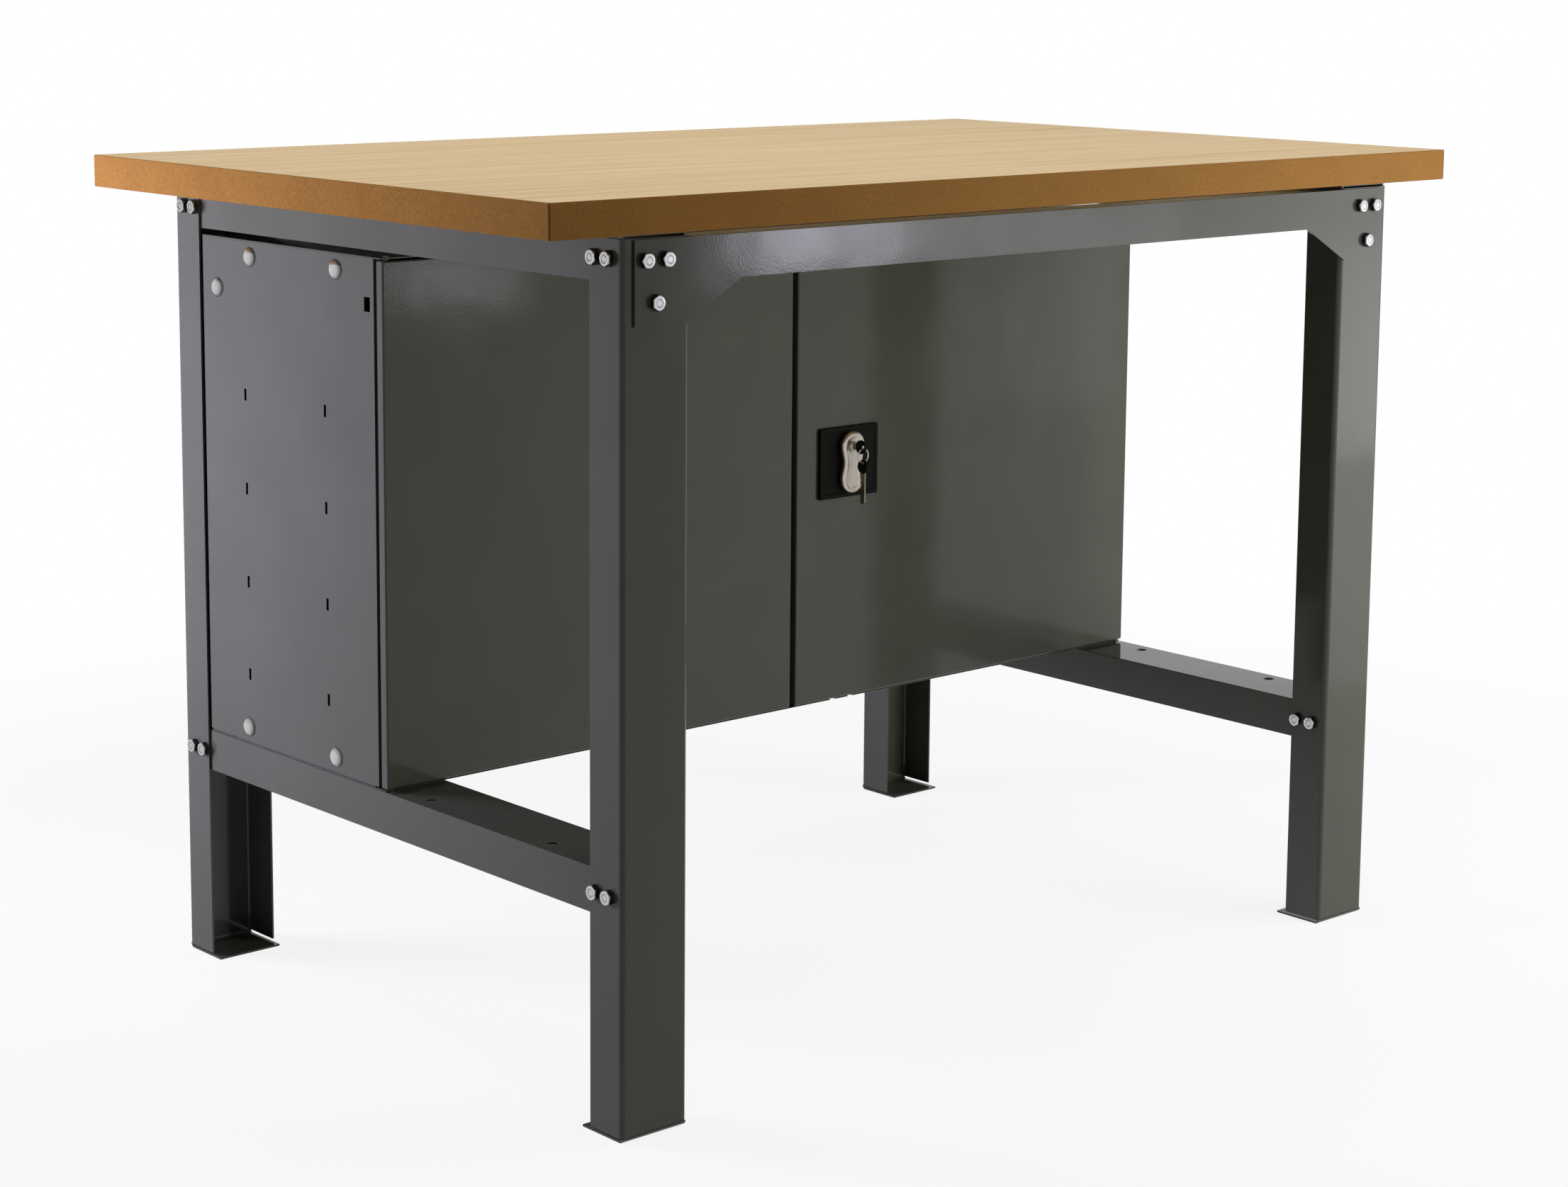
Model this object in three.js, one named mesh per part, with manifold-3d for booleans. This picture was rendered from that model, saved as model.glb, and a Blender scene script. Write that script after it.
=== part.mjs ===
// Steel workbench with a wooden top and a two-door cabinet hung in the back half of its frame.
// Units are millimetres. X runs along the bench, front is -Y, Z is up, and the origin lies on the
// floor under the middle of the bench.

import * as THREE from 'three';
import { mergeVertices } from 'three/addons/utils/BufferGeometryUtils.js';
import Module from 'manifold-3d';

const wasm = await Module();
wasm.setup();

// Whole bench
const BENCH_HEIGHT = 840;
const TOP_LENGTH = 1220;
const TOP_DEPTH = 750;
const TOP_THICK = 32;
const TOP_END_OVERHANG = 86;
const TOP_FRONT_OVERHANG = 11;

// Fits
const GAP = 0.3;
const HOLE_CLEARANCE = 1;
const TURN_CLEARANCE = 0.8;
const CUT_OVERRUN = 1;
const ROOT_OVERLAP = 1;
const WELD_DISTANCE = 0.0001;
const ROUND_SIDES = 8;
const FINE_SIDES = 16;
const WIRE_SIDES = 6;

// Legs: folded channels with the web outwards and a foot plate bent in from the web
const FRAME_SHEET = 2;
const LEG_WIDTH = 75;
const LEG_FLANGE = 45;
const LEG_TOP_GAP = 4;
const FOOT_DEPTH = 58;
const FOOT_SLIT = 2.5;

// Side rails: inverted channels that slip into the legs
const RAIL_HEIGHT = 42;
const LOWER_RAIL_TOP = 244;
const RAIL_END_GAP = 0.5;
const RAIL_HOLE = 11;
const RAIL_HOLE_INSET = 17;
const RAIL_HOLE_NEAR = 50;
const RAIL_HOLE_FAR = 240;

// Cross beams with gusset ends
const BEAM_HEIGHT = 39;
const BEAM_TOP_GAP = 5;
const BEAM_FLANGE = 30;
const BEAM_END_GAP = 2;
const GUSSET_EDGE_INSET = 12;
const GUSSET_CORNER_INSET = 4;
const GUSSET_DROP = 36;
const GUSSET_RUN = 63;

// Frame bolts
const BOLT = 8;
const BOLT_HEAD_FLATS = 13;
const BOLT_HEAD_HEIGHT = 5.3;
const RAIL_BOLT_EDGE = 7;
const RAIL_BOLT_PITCH = 20;
const SPACER_HEIGHT = 14;
const GUSSET_BOLT_EDGE = 12;
const GUSSET_BOLT_PITCH = 23;
const GUSSET_BOLT_DROP = 37;
const GUSSET_BOLT_LIFT = 1.5;
const NUT_PLATE_THICK = 6;
const NUT_PLATE_MARGIN = 8;

// Screws that hold the top down
const SCREW = 5;
const SCREW_HEAD = 14;
const SCREW_HEAD_HEIGHT = 3;
const SCREW_GRIP = 22;

// Cabinet
const CAB_SHEET = 1;
const CAB_DEPTH = 304;
const CAB_LEG_GAP = 3;
const CAB_TOP_GAP = 6.4;
const CAB_SIDE_LIFT = 3;
const CAB_FRONT_RETURN = 15;
const CAB_FLANGE = 30;
const CAB_FLANGE_FRONT = 8;
const BACK_FLANGE = 40;
const LIP_OVERHANG = 11;

// Cabinet bolts with mushroom heads
const MUSHROOM_HEAD = 20;
const MUSHROOM_HEIGHT = 5;
const MUSHROOM_STEPS = 2;
const CAB_NUT_FLATS = 13;
const CAB_NUT_HEIGHT = 6.5;
const CAB_BOLT_EDGE = 15;
const ROOF_BOLT_FRONT = 64;
const ROOF_BOLT_BACK = 216;
const FLOOR_BOLT_FRONT = 73;
const FLOOR_BOLT_BACK = 231;
const BACK_BOLT_INSET = 27;
const BACK_BOLT_DROP = 50;

// Shelf lances in the cabinet sides, the square hole above them and the shelf
const LANCE_WIDTH = 4;
const LANCE_HEIGHT = 12;
const LANCE_TAB = 14;
const LANCE_FRONT = 85;
const LANCE_BACK = 228;
const LANCE_FIRST = 70;
const LANCE_PITCH = 95.5;
const LANCE_COUNT = 4;
const SIDE_SLOT_FRONT = 6;
const SIDE_SLOT_WIDTH = 10;
const SIDE_SLOT_HEIGHT = 14;
const SIDE_SLOT_DROP = 37;
const SHELF_LANCE = 1;
const SHELF_EDGE = 25;
const SHELF_END_GAP = 3;
const SHELF_FRONT = 16;
const SHELF_BACK_GAP = 6;

// Doors: pans that cover the front of the cabinet and turn on pins
const DOOR_THICK = 10;
const DOOR_BACK_GAP = 5;
const DOOR_MEETING_GAP = 7;
const DOOR_SHEET = 1;
const DOOR_LIP_GAP = 1.5;
const PIN = 5;
const PIN_INSET = 7;
const PIN_COLLAR = 8;
const PIN_COLLAR_HEIGHT = 6;
const PIN_PROUD = 2;

// Lock on the right door
const PLATE_WIDTH = 84;
const PLATE_HEIGHT = 77;
const PLATE_THICK = 4;
const PLATE_CORNER = 2.5;
const LOCK_FROM_EDGE = 72;
const LOCK_LIFT = 4;
const HANDLE_LOBE = 15.8;
const HANDLE_PITCH = 35;
const HANDLE_WAIST = 9.5;
const HANDLE_THICK = 7;
const HANDLE_STANDOFF = 1.5;
const SPINDLE = 16;
const SPINDLE_TAIL = 11;
const PLUG = 10.4;
const PLUG_PROUD = 0.6;
const KEY_BLADE_LENGTH = 33;
const KEY_BLADE_WIDTH = 7;
const KEY_THICK = 2;
const KEY_BOW = 15;
const KEY_SHOULDER = 1;
const KEY_HOLE = 5;
const KEY_HOLE_INSET = 4;
const RING = 16;
const RING_WIRE = 1.6;
const CAM = 40;
const CAM_THICK = 2;
const CAM_BORE_CLEARANCE = 1.2;
const ROD = 6;
const ROD_OFFSET = 13;
const ROD_OVERLAP = 8;
const ROD_PROUD = 0.4;

// Heights and planes that follow from the sizes above
const UNDER_TOP = BENCH_HEIGHT - TOP_THICK;
const LEG_TOP = UNDER_TOP - LEG_TOP_GAP;
const HALF_LENGTH = TOP_LENGTH / 2 - TOP_END_OVERHANG;
const HALF_DEPTH = TOP_DEPTH / 2 - TOP_FRONT_OVERHANG;
const TOP_RAIL_TOP = UNDER_TOP - GAP;
const RAIL_OUTER = HALF_LENGTH - FRAME_SHEET - GAP;
const RAIL_INNER = HALF_LENGTH - LEG_WIDTH + FRAME_SHEET + GAP;
const RAIL_END = HALF_DEPTH - FRAME_SHEET - RAIL_END_GAP;
const BEAM_TOP = UNDER_TOP - BEAM_TOP_GAP;
const BEAM_BOTTOM = BEAM_TOP - BEAM_HEIGHT;
const BEAM_BACK = HALF_DEPTH + GAP;
const BEAM_FACE = BEAM_BACK + FRAME_SHEET;
const CAB_OUTER = RAIL_OUTER;
const CAB_BACK = HALF_DEPTH - LEG_FLANGE - CAB_LEG_GAP;
const CAB_FRONT = CAB_BACK - CAB_DEPTH;
const CAB_BOTTOM = LOWER_RAIL_TOP + GAP;
const CAB_TOP = TOP_RAIL_TOP - RAIL_HEIGHT - CAB_TOP_GAP;
const SIDE_BOTTOM = CAB_BOTTOM + CAB_SIDE_LIFT;
const SIDE_TOP = CAB_TOP - CAB_SHEET - GAP;
const CAB_INNER = CAB_OUTER - CAB_SHEET;
const FLANGE_OUTER = CAB_INNER - GAP;
const FLANGE_INNER = FLANGE_OUTER - CAB_SHEET;
const DOOR_BACK = CAB_FRONT - DOOR_BACK_GAP;
const DOOR_FACE = DOOR_BACK - DOOR_THICK;
const DOOR_MIDDLE = DOOR_BACK - DOOR_THICK / 2;
const DOOR_BOTTOM = CAB_BOTTOM + CAB_SHEET + DOOR_LIP_GAP;
const DOOR_TOP = CAB_TOP - CAB_SHEET - DOOR_LIP_GAP;
const DOOR_FREE = DOOR_MEETING_GAP / 2;
const LIP_FRONT = CAB_FRONT - LIP_OVERHANG;
const HINGE_X = CAB_OUTER - PIN_INSET;
const LOCK_X = DOOR_FREE + LOCK_FROM_EDGE;
const LOCK_HEIGHT = (DOOR_BOTTOM + DOOR_TOP) / 2 + LOCK_LIFT;
const SPINDLE_Z = LOCK_HEIGHT + HANDLE_PITCH / 2;
const PLATE_BACK = DOOR_FACE - GAP;
const PLATE_FACE = PLATE_BACK - PLATE_THICK;
const HANDLE_BACK = PLATE_FACE - HANDLE_STANDOFF;
const HANDLE_FACE = HANDLE_BACK - HANDLE_THICK;
const SPINDLE_END = DOOR_BACK + SPINDLE_TAIL;
const PLUG_FACE = HANDLE_FACE - PLUG_PROUD;

// Materials
const paint = { color: '#54544f', roughness: 0.45, metalness: 0.2 };
const wood = { color: '#d9b98a', roughness: 0.55, metalness: 0 };
const zinc = { color: '#c9ccce', roughness: 0.35, metalness: 0.9 };
const blackPlastic = { color: '#1b1b1c', roughness: 0.5, metalness: 0 };
const satinMetal = { color: '#b9bbbd', roughness: 0.4, metalness: 0.8 };

const bench = new THREE.Group();
bench.name = 'workbench';

// A closed geometry as a solid that can be joined and cut
function solidOf(geometry) {
  const bare = geometry.clone();
  bare.deleteAttribute('normal');
  bare.deleteAttribute('uv');
  const merged = mergeVertices(bare, WELD_DISTANCE);
  const vertProperties = new Float32Array(merged.attributes.position.array);
  const triVerts = new Uint32Array(merged.index.array);
  return new wasm.Manifold(new wasm.Mesh({ numProp: 3, vertProperties, triVerts }));
}

// A solid back as a geometry
function geometryOf(solid) {
  const mesh = solid.getMesh();
  const geometry = new THREE.BufferGeometry();
  geometry.setAttribute('position', new THREE.BufferAttribute(mesh.vertProperties, 3));
  geometry.setIndex(new THREE.BufferAttribute(mesh.triVerts, 1));
  return geometry;
}

function join(solids) {
  return solids.reduce((whole, piece) => whole.add(piece));
}

function cut(solid, tools) {
  return tools.reduce((rest, tool) => rest.subtract(tool), solid);
}

function addPart(name, solid, look) {
  const mesh = new THREE.Mesh(geometryOf(solid), new THREE.MeshStandardMaterial(look));
  mesh.name = name;
  bench.add(mesh);
}

// A block from its extents on each axis, given in either order
function block(xs, ys, zs) {
  const size = [xs, ys, zs].map((pair) => Math.abs(pair[1] - pair[0]));
  const centre = [xs, ys, zs].map((pair) => (pair[0] + pair[1]) / 2);
  const geometry = new THREE.BoxGeometry(...size);
  geometry.translate(...centre);
  return solidOf(geometry);
}

// A round or many-sided bar along an axis, between two positions on it
function bar(axis, centre, from, to, diameter, sides = ROUND_SIDES) {
  const geometry = new THREE.CylinderGeometry(diameter / 2, diameter / 2, Math.abs(to - from), sides);
  const middle = (from + to) / 2;
  if (axis === 'x') {
    geometry.rotateZ(Math.PI / 2);
    geometry.translate(middle, centre[0], centre[1]);
  }
  if (axis === 'y') {
    geometry.translate(centre[0], middle, centre[1]);
  }
  if (axis === 'z') {
    geometry.rotateX(Math.PI / 2);
    geometry.translate(centre[0], centre[1], middle);
  }
  return solidOf(geometry);
}

function hexBar(axis, centre, from, to, flats) {
  return bar(axis, centre, from, to, (flats * 2) / Math.sqrt(3), 6);
}

// A flat outline in X and Z, with a thickness along Y
function plate(shape, from, to, curveSegments = 3) {
  const depth = Math.abs(to - from);
  const geometry = new THREE.ExtrudeGeometry(shape, { depth, bevelEnabled: false, curveSegments });
  geometry.rotateX(Math.PI / 2);
  geometry.translate(0, Math.max(from, to), 0);
  return solidOf(geometry);
}

// A flat outline in X and Y, with a height along Z
function post(points, from, to) {
  const shape = new THREE.Shape(points.map(([x, y]) => new THREE.Vector2(x, y)));
  const geometry = new THREE.ExtrudeGeometry(shape, { depth: to - from, bevelEnabled: false });
  geometry.translate(0, 0, from);
  return solidOf(geometry);
}

// The name endings and directions of the two sides and the two ends
const SIDES = [['left', -1], ['right', 1]];
const ENDS = [['front', -1], ['back', 1]];
const RAILS = [['top', TOP_RAIL_TOP], ['lower', LOWER_RAIL_TOP]];
const railBoltPlaces = [0, RAIL_BOLT_PITCH].map((step) => HALF_DEPTH - LEG_FLANGE + RAIL_BOLT_EDGE + step);
const railHolePlaces = [-RAIL_HOLE_FAR, -RAIL_HOLE_NEAR, RAIL_HOLE_NEAR, RAIL_HOLE_FAR];
const railHoleX = RAIL_OUTER - RAIL_HOLE_INSET;
const gussetEdge = HALF_LENGTH - GUSSET_EDGE_INSET;
const gussetBoltZ = (BEAM_TOP + BEAM_BOTTOM) / 2 + GUSSET_BOLT_LIFT;
const gussetBoltX = gussetEdge - GUSSET_BOLT_EDGE;
const gussetBolts = [
  [gussetBoltX, gussetBoltZ],
  [gussetBoltX - GUSSET_BOLT_PITCH, gussetBoltZ],
  [gussetBoltX - GUSSET_BOLT_PITCH / 2, gussetBoltZ - GUSSET_BOLT_DROP],
];

// Worktop with blind holes for its screws
const screwPlaces = [];
for (const [sideName, side] of SIDES) {
  for (const [endName, end] of ENDS) {
    screwPlaces.push([`${endName}_${sideName}`, side * railHoleX, end * RAIL_HOLE_FAR]);
  }
}
const topBoard = block(
  [-TOP_LENGTH / 2, TOP_LENGTH / 2],
  [-TOP_DEPTH / 2, TOP_DEPTH / 2],
  [UNDER_TOP, BENCH_HEIGHT],
);
const pilotHoles = screwPlaces.map(([, x, y]) =>
  bar('z', [x, y], UNDER_TOP - GAP, UNDER_TOP + SCREW_GRIP + HOLE_CLEARANCE, SCREW + HOLE_CLEARANCE));
addPart('worktop', cut(topBoard, pilotHoles), wood);

// Screws up through the top rails into the board
for (const [place, x, y] of screwPlaces) {
  const seat = TOP_RAIL_TOP - FRAME_SHEET - GAP;
  const head = bar('z', [x, y], seat - SCREW_HEAD_HEIGHT, seat, SCREW_HEAD);
  const shank = bar('z', [x, y], seat - SCREW_HEAD_HEIGHT / 2, UNDER_TOP + SCREW_GRIP, SCREW);
  addPart(`top_screw_${place}`, head.add(shank), zinc);
}

// Legs
function leg(side, end) {
  const outer = side * HALF_LENGTH;
  const inner = side * (HALF_LENGTH - LEG_WIDTH);
  const face = end * HALF_DEPTH;
  const flangeEdge = face - end * LEG_FLANGE;
  const flangeHeights = [FRAME_SHEET + FOOT_SLIT, LEG_TOP];
  const channel = join([
    block([outer, inner], [face, face - end * FRAME_SHEET], [0, LEG_TOP]),
    block([outer, outer - side * FRAME_SHEET], [face, flangeEdge], flangeHeights),
    block([inner, inner + side * FRAME_SHEET], [face, flangeEdge], flangeHeights),
    block([outer, inner], [face, face - end * FOOT_DEPTH], [0, FRAME_SHEET]),
  ]);
  const holes = [];
  const acrossEnds = [outer + side * CUT_OVERRUN, inner - side * CUT_OVERRUN];
  for (const [, railTop] of RAILS) {
    for (const y of railBoltPlaces) {
      const centre = [end * y, railTop - RAIL_HEIGHT / 2];
      holes.push(bar('x', centre, ...acrossEnds, BOLT + HOLE_CLEARANCE));
    }
  }
  const webEnds = [face + end * CUT_OVERRUN, face - end * (FRAME_SHEET + CUT_OVERRUN)];
  for (const [x, z] of gussetBolts) {
    holes.push(bar('y', [side * x, z], ...webEnds, BOLT + HOLE_CLEARANCE));
  }
  return cut(channel, holes);
}

// Side rails
function rail(side, top) {
  const outer = side * RAIL_OUTER;
  const inner = side * RAIL_INNER;
  const length = [-RAIL_END, RAIL_END];
  const channel = cut(block([outer, inner], length, [top - RAIL_HEIGHT, top]), [
    block(
      [outer - side * FRAME_SHEET, inner + side * FRAME_SHEET],
      [-RAIL_END - CUT_OVERRUN, RAIL_END + CUT_OVERRUN],
      [top - RAIL_HEIGHT - CUT_OVERRUN, top - FRAME_SHEET],
    ),
  ]);
  const acrossEnds = [outer + side * CUT_OVERRUN, inner - side * CUT_OVERRUN];
  const holes = railHolePlaces.map((y) =>
    bar('z', [side * railHoleX, y], top - FRAME_SHEET - CUT_OVERRUN, top + CUT_OVERRUN, RAIL_HOLE));
  for (const [, end] of ENDS) {
    for (const y of railBoltPlaces) {
      const centre = [end * y, top - RAIL_HEIGHT / 2];
      holes.push(bar('x', centre, ...acrossEnds, BOLT + HOLE_CLEARANCE));
    }
  }
  return cut(channel, holes);
}

// Two through bolts with their nuts, held apart by one spacer inside the rail
function railBolts(side, end, top) {
  const height = top - RAIL_HEIGHT / 2;
  const outer = HALF_LENGTH + GAP;
  const inner = HALF_LENGTH - LEG_WIDTH - GAP;
  const spacerEnds = [side * (RAIL_OUTER - FRAME_SHEET - GAP), side * (RAIL_INNER + FRAME_SHEET + GAP)];
  const spacerReach = SPACER_HEIGHT / 2;
  const spacer = block(
    spacerEnds,
    [end * (railBoltPlaces[0] - spacerReach), end * (railBoltPlaces[1] + spacerReach)],
    [height - spacerReach, height + spacerReach],
  );
  const pieces = [spacer];
  for (const y of railBoltPlaces) {
    const centre = [end * y, height];
    const outerEnd = outer + BOLT_HEAD_HEIGHT;
    const innerEnd = inner - BOLT_HEAD_HEIGHT;
    pieces.push(bar('x', centre, side * (outerEnd - ROOT_OVERLAP), side * (innerEnd + ROOT_OVERLAP), BOLT));
    pieces.push(hexBar('x', centre, side * outer, side * outerEnd, BOLT_HEAD_FLATS));
    pieces.push(hexBar('x', centre, side * inner, side * innerEnd, BOLT_HEAD_FLATS));
  }
  return join(pieces);
}

for (const [sideName, side] of SIDES) {
  for (const [endName, end] of ENDS) {
    addPart(`leg_${endName}_${sideName}`, leg(side, end), paint);
  }
  for (const [railName, railTop] of RAILS) {
    addPart(`${railName}_rail_${sideName}`, rail(side, railTop), paint);
    for (const [endName, end] of ENDS) {
      addPart(`${railName}_rail_bolts_${endName}_${sideName}`, railBolts(side, end, railTop), zinc);
    }
  }
}

// Cross beams: one folded sheet, its face widened into a gusset at each end
function beam(end) {
  const corner = HALF_LENGTH - LEG_WIDTH + GUSSET_CORNER_INSET;
  const bottom = BEAM_BOTTOM - GUSSET_DROP;
  const outline = new THREE.Shape();
  outline.moveTo(-gussetEdge, BEAM_TOP);
  outline.lineTo(-gussetEdge, bottom);
  outline.lineTo(-corner, bottom);
  outline.lineTo(GUSSET_RUN - corner, BEAM_BOTTOM);
  outline.lineTo(corner - GUSSET_RUN, BEAM_BOTTOM);
  outline.lineTo(corner, bottom);
  outline.lineTo(gussetEdge, bottom);
  outline.lineTo(gussetEdge, BEAM_TOP);
  outline.closePath();
  const reach = HALF_LENGTH - LEG_WIDTH - BEAM_END_GAP;
  const lowerReach = corner - GUSSET_RUN;
  const depth = [end * BEAM_FACE, end * (BEAM_FACE - BEAM_FLANGE)];
  const folded = join([
    plate(outline, end * BEAM_BACK, end * BEAM_FACE),
    block([-reach, reach], depth, [BEAM_TOP - FRAME_SHEET, BEAM_TOP]),
    block([-lowerReach, lowerReach], depth, [BEAM_BOTTOM, BEAM_BOTTOM + FRAME_SHEET]),
  ]);
  const holes = [];
  const holeEnds = [end * (BEAM_BACK - CUT_OVERRUN), end * (BEAM_FACE + CUT_OVERRUN)];
  for (const [, side] of SIDES) {
    for (const [x, z] of gussetBolts) {
      holes.push(bar('y', [side * x, z], ...holeEnds, BOLT + HOLE_CLEARANCE));
    }
  }
  return cut(folded, holes);
}

// Three bolts through a gusset and the leg behind it, into one nut plate
function gussetBoltSet(side, end) {
  const seat = BEAM_FACE + GAP;
  const nutFace = HALF_DEPTH - FRAME_SHEET - GAP;
  const nutBack = nutFace - NUT_PLATE_THICK;
  const xs = gussetBolts.map(([x]) => side * x);
  const zs = gussetBolts.map(([, z]) => z);
  const nutPlate = block(
    [Math.min(...xs) - NUT_PLATE_MARGIN, Math.max(...xs) + NUT_PLATE_MARGIN],
    [end * nutBack, end * nutFace],
    [Math.min(...zs) - NUT_PLATE_MARGIN, Math.max(...zs) + NUT_PLATE_MARGIN],
  );
  const pieces = [nutPlate];
  for (const [x, z] of gussetBolts) {
    const centre = [side * x, z];
    const headFace = seat + BOLT_HEAD_HEIGHT;
    pieces.push(bar('y', centre, end * (nutBack + ROOT_OVERLAP), end * (headFace - ROOT_OVERLAP), BOLT));
    pieces.push(hexBar('y', centre, end * seat, end * headFace, BOLT_HEAD_FLATS));
  }
  return join(pieces);
}

for (const [endName, end] of ENDS) {
  addPart(`${endName}_beam`, beam(end), paint);
  for (const [sideName, side] of SIDES) {
    addPart(`gusset_bolts_${endName}_${sideName}`, gussetBoltSet(side, end), zinc);
  }
}

// Places of the cabinet bolts on a side panel, as Y and Z
const cabinetBolts = [
  ['roof_front', CAB_FRONT + ROOF_BOLT_FRONT, SIDE_TOP - CAB_BOLT_EDGE],
  ['roof_back', CAB_FRONT + ROOF_BOLT_BACK, SIDE_TOP - CAB_BOLT_EDGE],
  ['floor_front', CAB_FRONT + FLOOR_BOLT_FRONT, SIDE_BOTTOM + CAB_BOLT_EDGE],
  ['floor_back', CAB_FRONT + FLOOR_BOLT_BACK, SIDE_BOTTOM + CAB_BOLT_EDGE],
  ['back_top', CAB_BACK - BACK_BOLT_INSET, SIDE_TOP - BACK_BOLT_DROP],
];

function cabinetBoltHoles(side) {
  const ends = [side * (CAB_OUTER + CUT_OVERRUN), side * (FLANGE_INNER - CUT_OVERRUN)];
  return cabinetBolts.map(([, y, z]) => bar('x', [y, z], ...ends, BOLT + HOLE_CLEARANCE));
}

const lanceSteps = Array.from({ length: LANCE_COUNT }, (_, step) => step * LANCE_PITCH);
const lanceHeights = lanceSteps.map((step) => SIDE_BOTTOM + LANCE_FIRST + step);
const lancePlaces = [LANCE_FRONT, LANCE_BACK].map((offset) => CAB_FRONT + offset);
const lanceInner = CAB_INNER - LANCE_TAB;

// Side panels, with a return at the front and lanced tabs that carry the shelf
function sidePanel(side) {
  const heights = [SIDE_BOTTOM, SIDE_TOP];
  const returnEnds = [side * CAB_OUTER, side * (CAB_OUTER - CAB_FRONT_RETURN)];
  const through = [side * (CAB_OUTER + CUT_OVERRUN), side * (CAB_INNER - CUT_OVERRUN)];
  const sheet = join([
    block([side * CAB_OUTER, side * CAB_INNER], [CAB_FRONT, CAB_BACK], heights),
    block(returnEnds, [CAB_FRONT, CAB_FRONT + CAB_SHEET], heights),
  ]);
  const slots = [];
  const tabs = [];
  for (const y of lancePlaces) {
    for (const z of lanceHeights) {
      const middle = [y - LANCE_WIDTH / 2, y + LANCE_WIDTH / 2];
      const tabTop = z + LANCE_HEIGHT / 2 + CAB_SHEET;
      slots.push(block(through, middle, [z - LANCE_HEIGHT / 2, z + LANCE_HEIGHT / 2]));
      tabs.push(block([side * CAB_OUTER, side * lanceInner], middle, [tabTop - CAB_SHEET, tabTop]));
    }
  }
  const slotFront = CAB_FRONT + SIDE_SLOT_FRONT;
  const slotTop = SIDE_TOP - SIDE_SLOT_DROP;
  slots.push(block(through, [slotFront, slotFront + SIDE_SLOT_WIDTH], [slotTop - SIDE_SLOT_HEIGHT, slotTop]));
  return join([cut(sheet, slots.concat(cabinetBoltHoles(side))), ...tabs]);
}

// Roof and floor: trays whose flanges stand inside the side panels and whose front lip holds the pins
function tray(outerZ, direction) {
  const innerZ = outerZ + direction * CAB_SHEET;
  const flangeEnd = innerZ + direction * CAB_FLANGE;
  const flangeFront = CAB_FRONT + CAB_FLANGE_FRONT;
  const flangeBack = CAB_BACK - CAB_SHEET - BACK_FLANGE - GAP * 2;
  const pieces = [block([-CAB_OUTER, CAB_OUTER], [LIP_FRONT, CAB_BACK], [outerZ, innerZ])];
  const through = [outerZ - direction * CUT_OVERRUN, innerZ + direction * CUT_OVERRUN];
  const holes = [];
  for (const [, side] of SIDES) {
    const flangeXs = [side * FLANGE_OUTER, side * FLANGE_INNER];
    pieces.push(block(flangeXs, [flangeFront, flangeBack], [outerZ, flangeEnd]));
    holes.push(...cabinetBoltHoles(side));
    holes.push(bar('z', [side * HINGE_X, DOOR_MIDDLE], ...through, PIN + TURN_CLEARANCE));
    holes.push(bar('z', [LOCK_X + side * ROD_OFFSET, DOOR_MIDDLE], ...through, ROD + TURN_CLEARANCE * 2));
  }
  return cut(join(pieces), holes);
}

// Back panel, with flanges that lap inside the side panels
function backPanel() {
  const flangeFront = CAB_BACK - CAB_SHEET - BACK_FLANGE;
  const inside = CAB_BACK - CAB_SHEET;
  const outline = [
    [-FLANGE_OUTER, CAB_BACK],
    [-FLANGE_OUTER, flangeFront],
    [-FLANGE_INNER, flangeFront],
    [-FLANGE_INNER, inside],
    [FLANGE_INNER, inside],
    [FLANGE_INNER, flangeFront],
    [FLANGE_OUTER, flangeFront],
    [FLANGE_OUTER, CAB_BACK],
  ];
  const sheet = post(outline, CAB_BOTTOM + CAB_SHEET + GAP, CAB_TOP - CAB_SHEET - GAP);
  return cut(sheet, [...cabinetBoltHoles(-1), ...cabinetBoltHoles(1)]);
}

// A mushroom-head bolt with its nut
function mushroomBolt(side, y, z) {
  const seat = CAB_OUTER + GAP;
  const nutFace = FLANGE_INNER - GAP;
  const nutEnd = nutFace - CAB_NUT_HEIGHT;
  const sphere = (MUSHROOM_HEIGHT ** 2 + (MUSHROOM_HEAD / 2) ** 2) / (2 * MUSHROOM_HEIGHT);
  const rim = Math.asin(MUSHROOM_HEAD / 2 / sphere);
  const profile = [new THREE.Vector2(0, 0)];
  for (let step = MUSHROOM_STEPS; step >= 0; step -= 1) {
    const angle = (rim * step) / MUSHROOM_STEPS;
    const height = sphere * Math.cos(angle) - sphere + MUSHROOM_HEIGHT;
    profile.push(new THREE.Vector2(sphere * Math.sin(angle), height));
  }
  profile[profile.length - 1].x = 0;
  const dome = new THREE.LatheGeometry(profile, FINE_SIDES);
  dome.rotateZ(-side * Math.PI / 2);
  dome.translate(side * seat, y, z);
  return join([
    solidOf(dome),
    bar('x', [y, z], side * (seat + ROOT_OVERLAP), side * (nutEnd + ROOT_OVERLAP), BOLT),
    hexBar('x', [y, z], side * nutFace, side * nutEnd, CAB_NUT_FLATS),
  ]);
}

for (const [sideName, side] of SIDES) {
  addPart(`cabinet_side_${sideName}`, sidePanel(side), paint);
  for (const [boltName, y, z] of cabinetBolts) {
    addPart(`cabinet_bolt_${boltName}_${sideName}`, mushroomBolt(side, y, z), zinc);
  }
}
addPart('cabinet_roof', tray(CAB_TOP, -1), paint);
addPart('cabinet_floor', tray(CAB_BOTTOM, 1), paint);
addPart('cabinet_back', backPanel(), paint);

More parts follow.
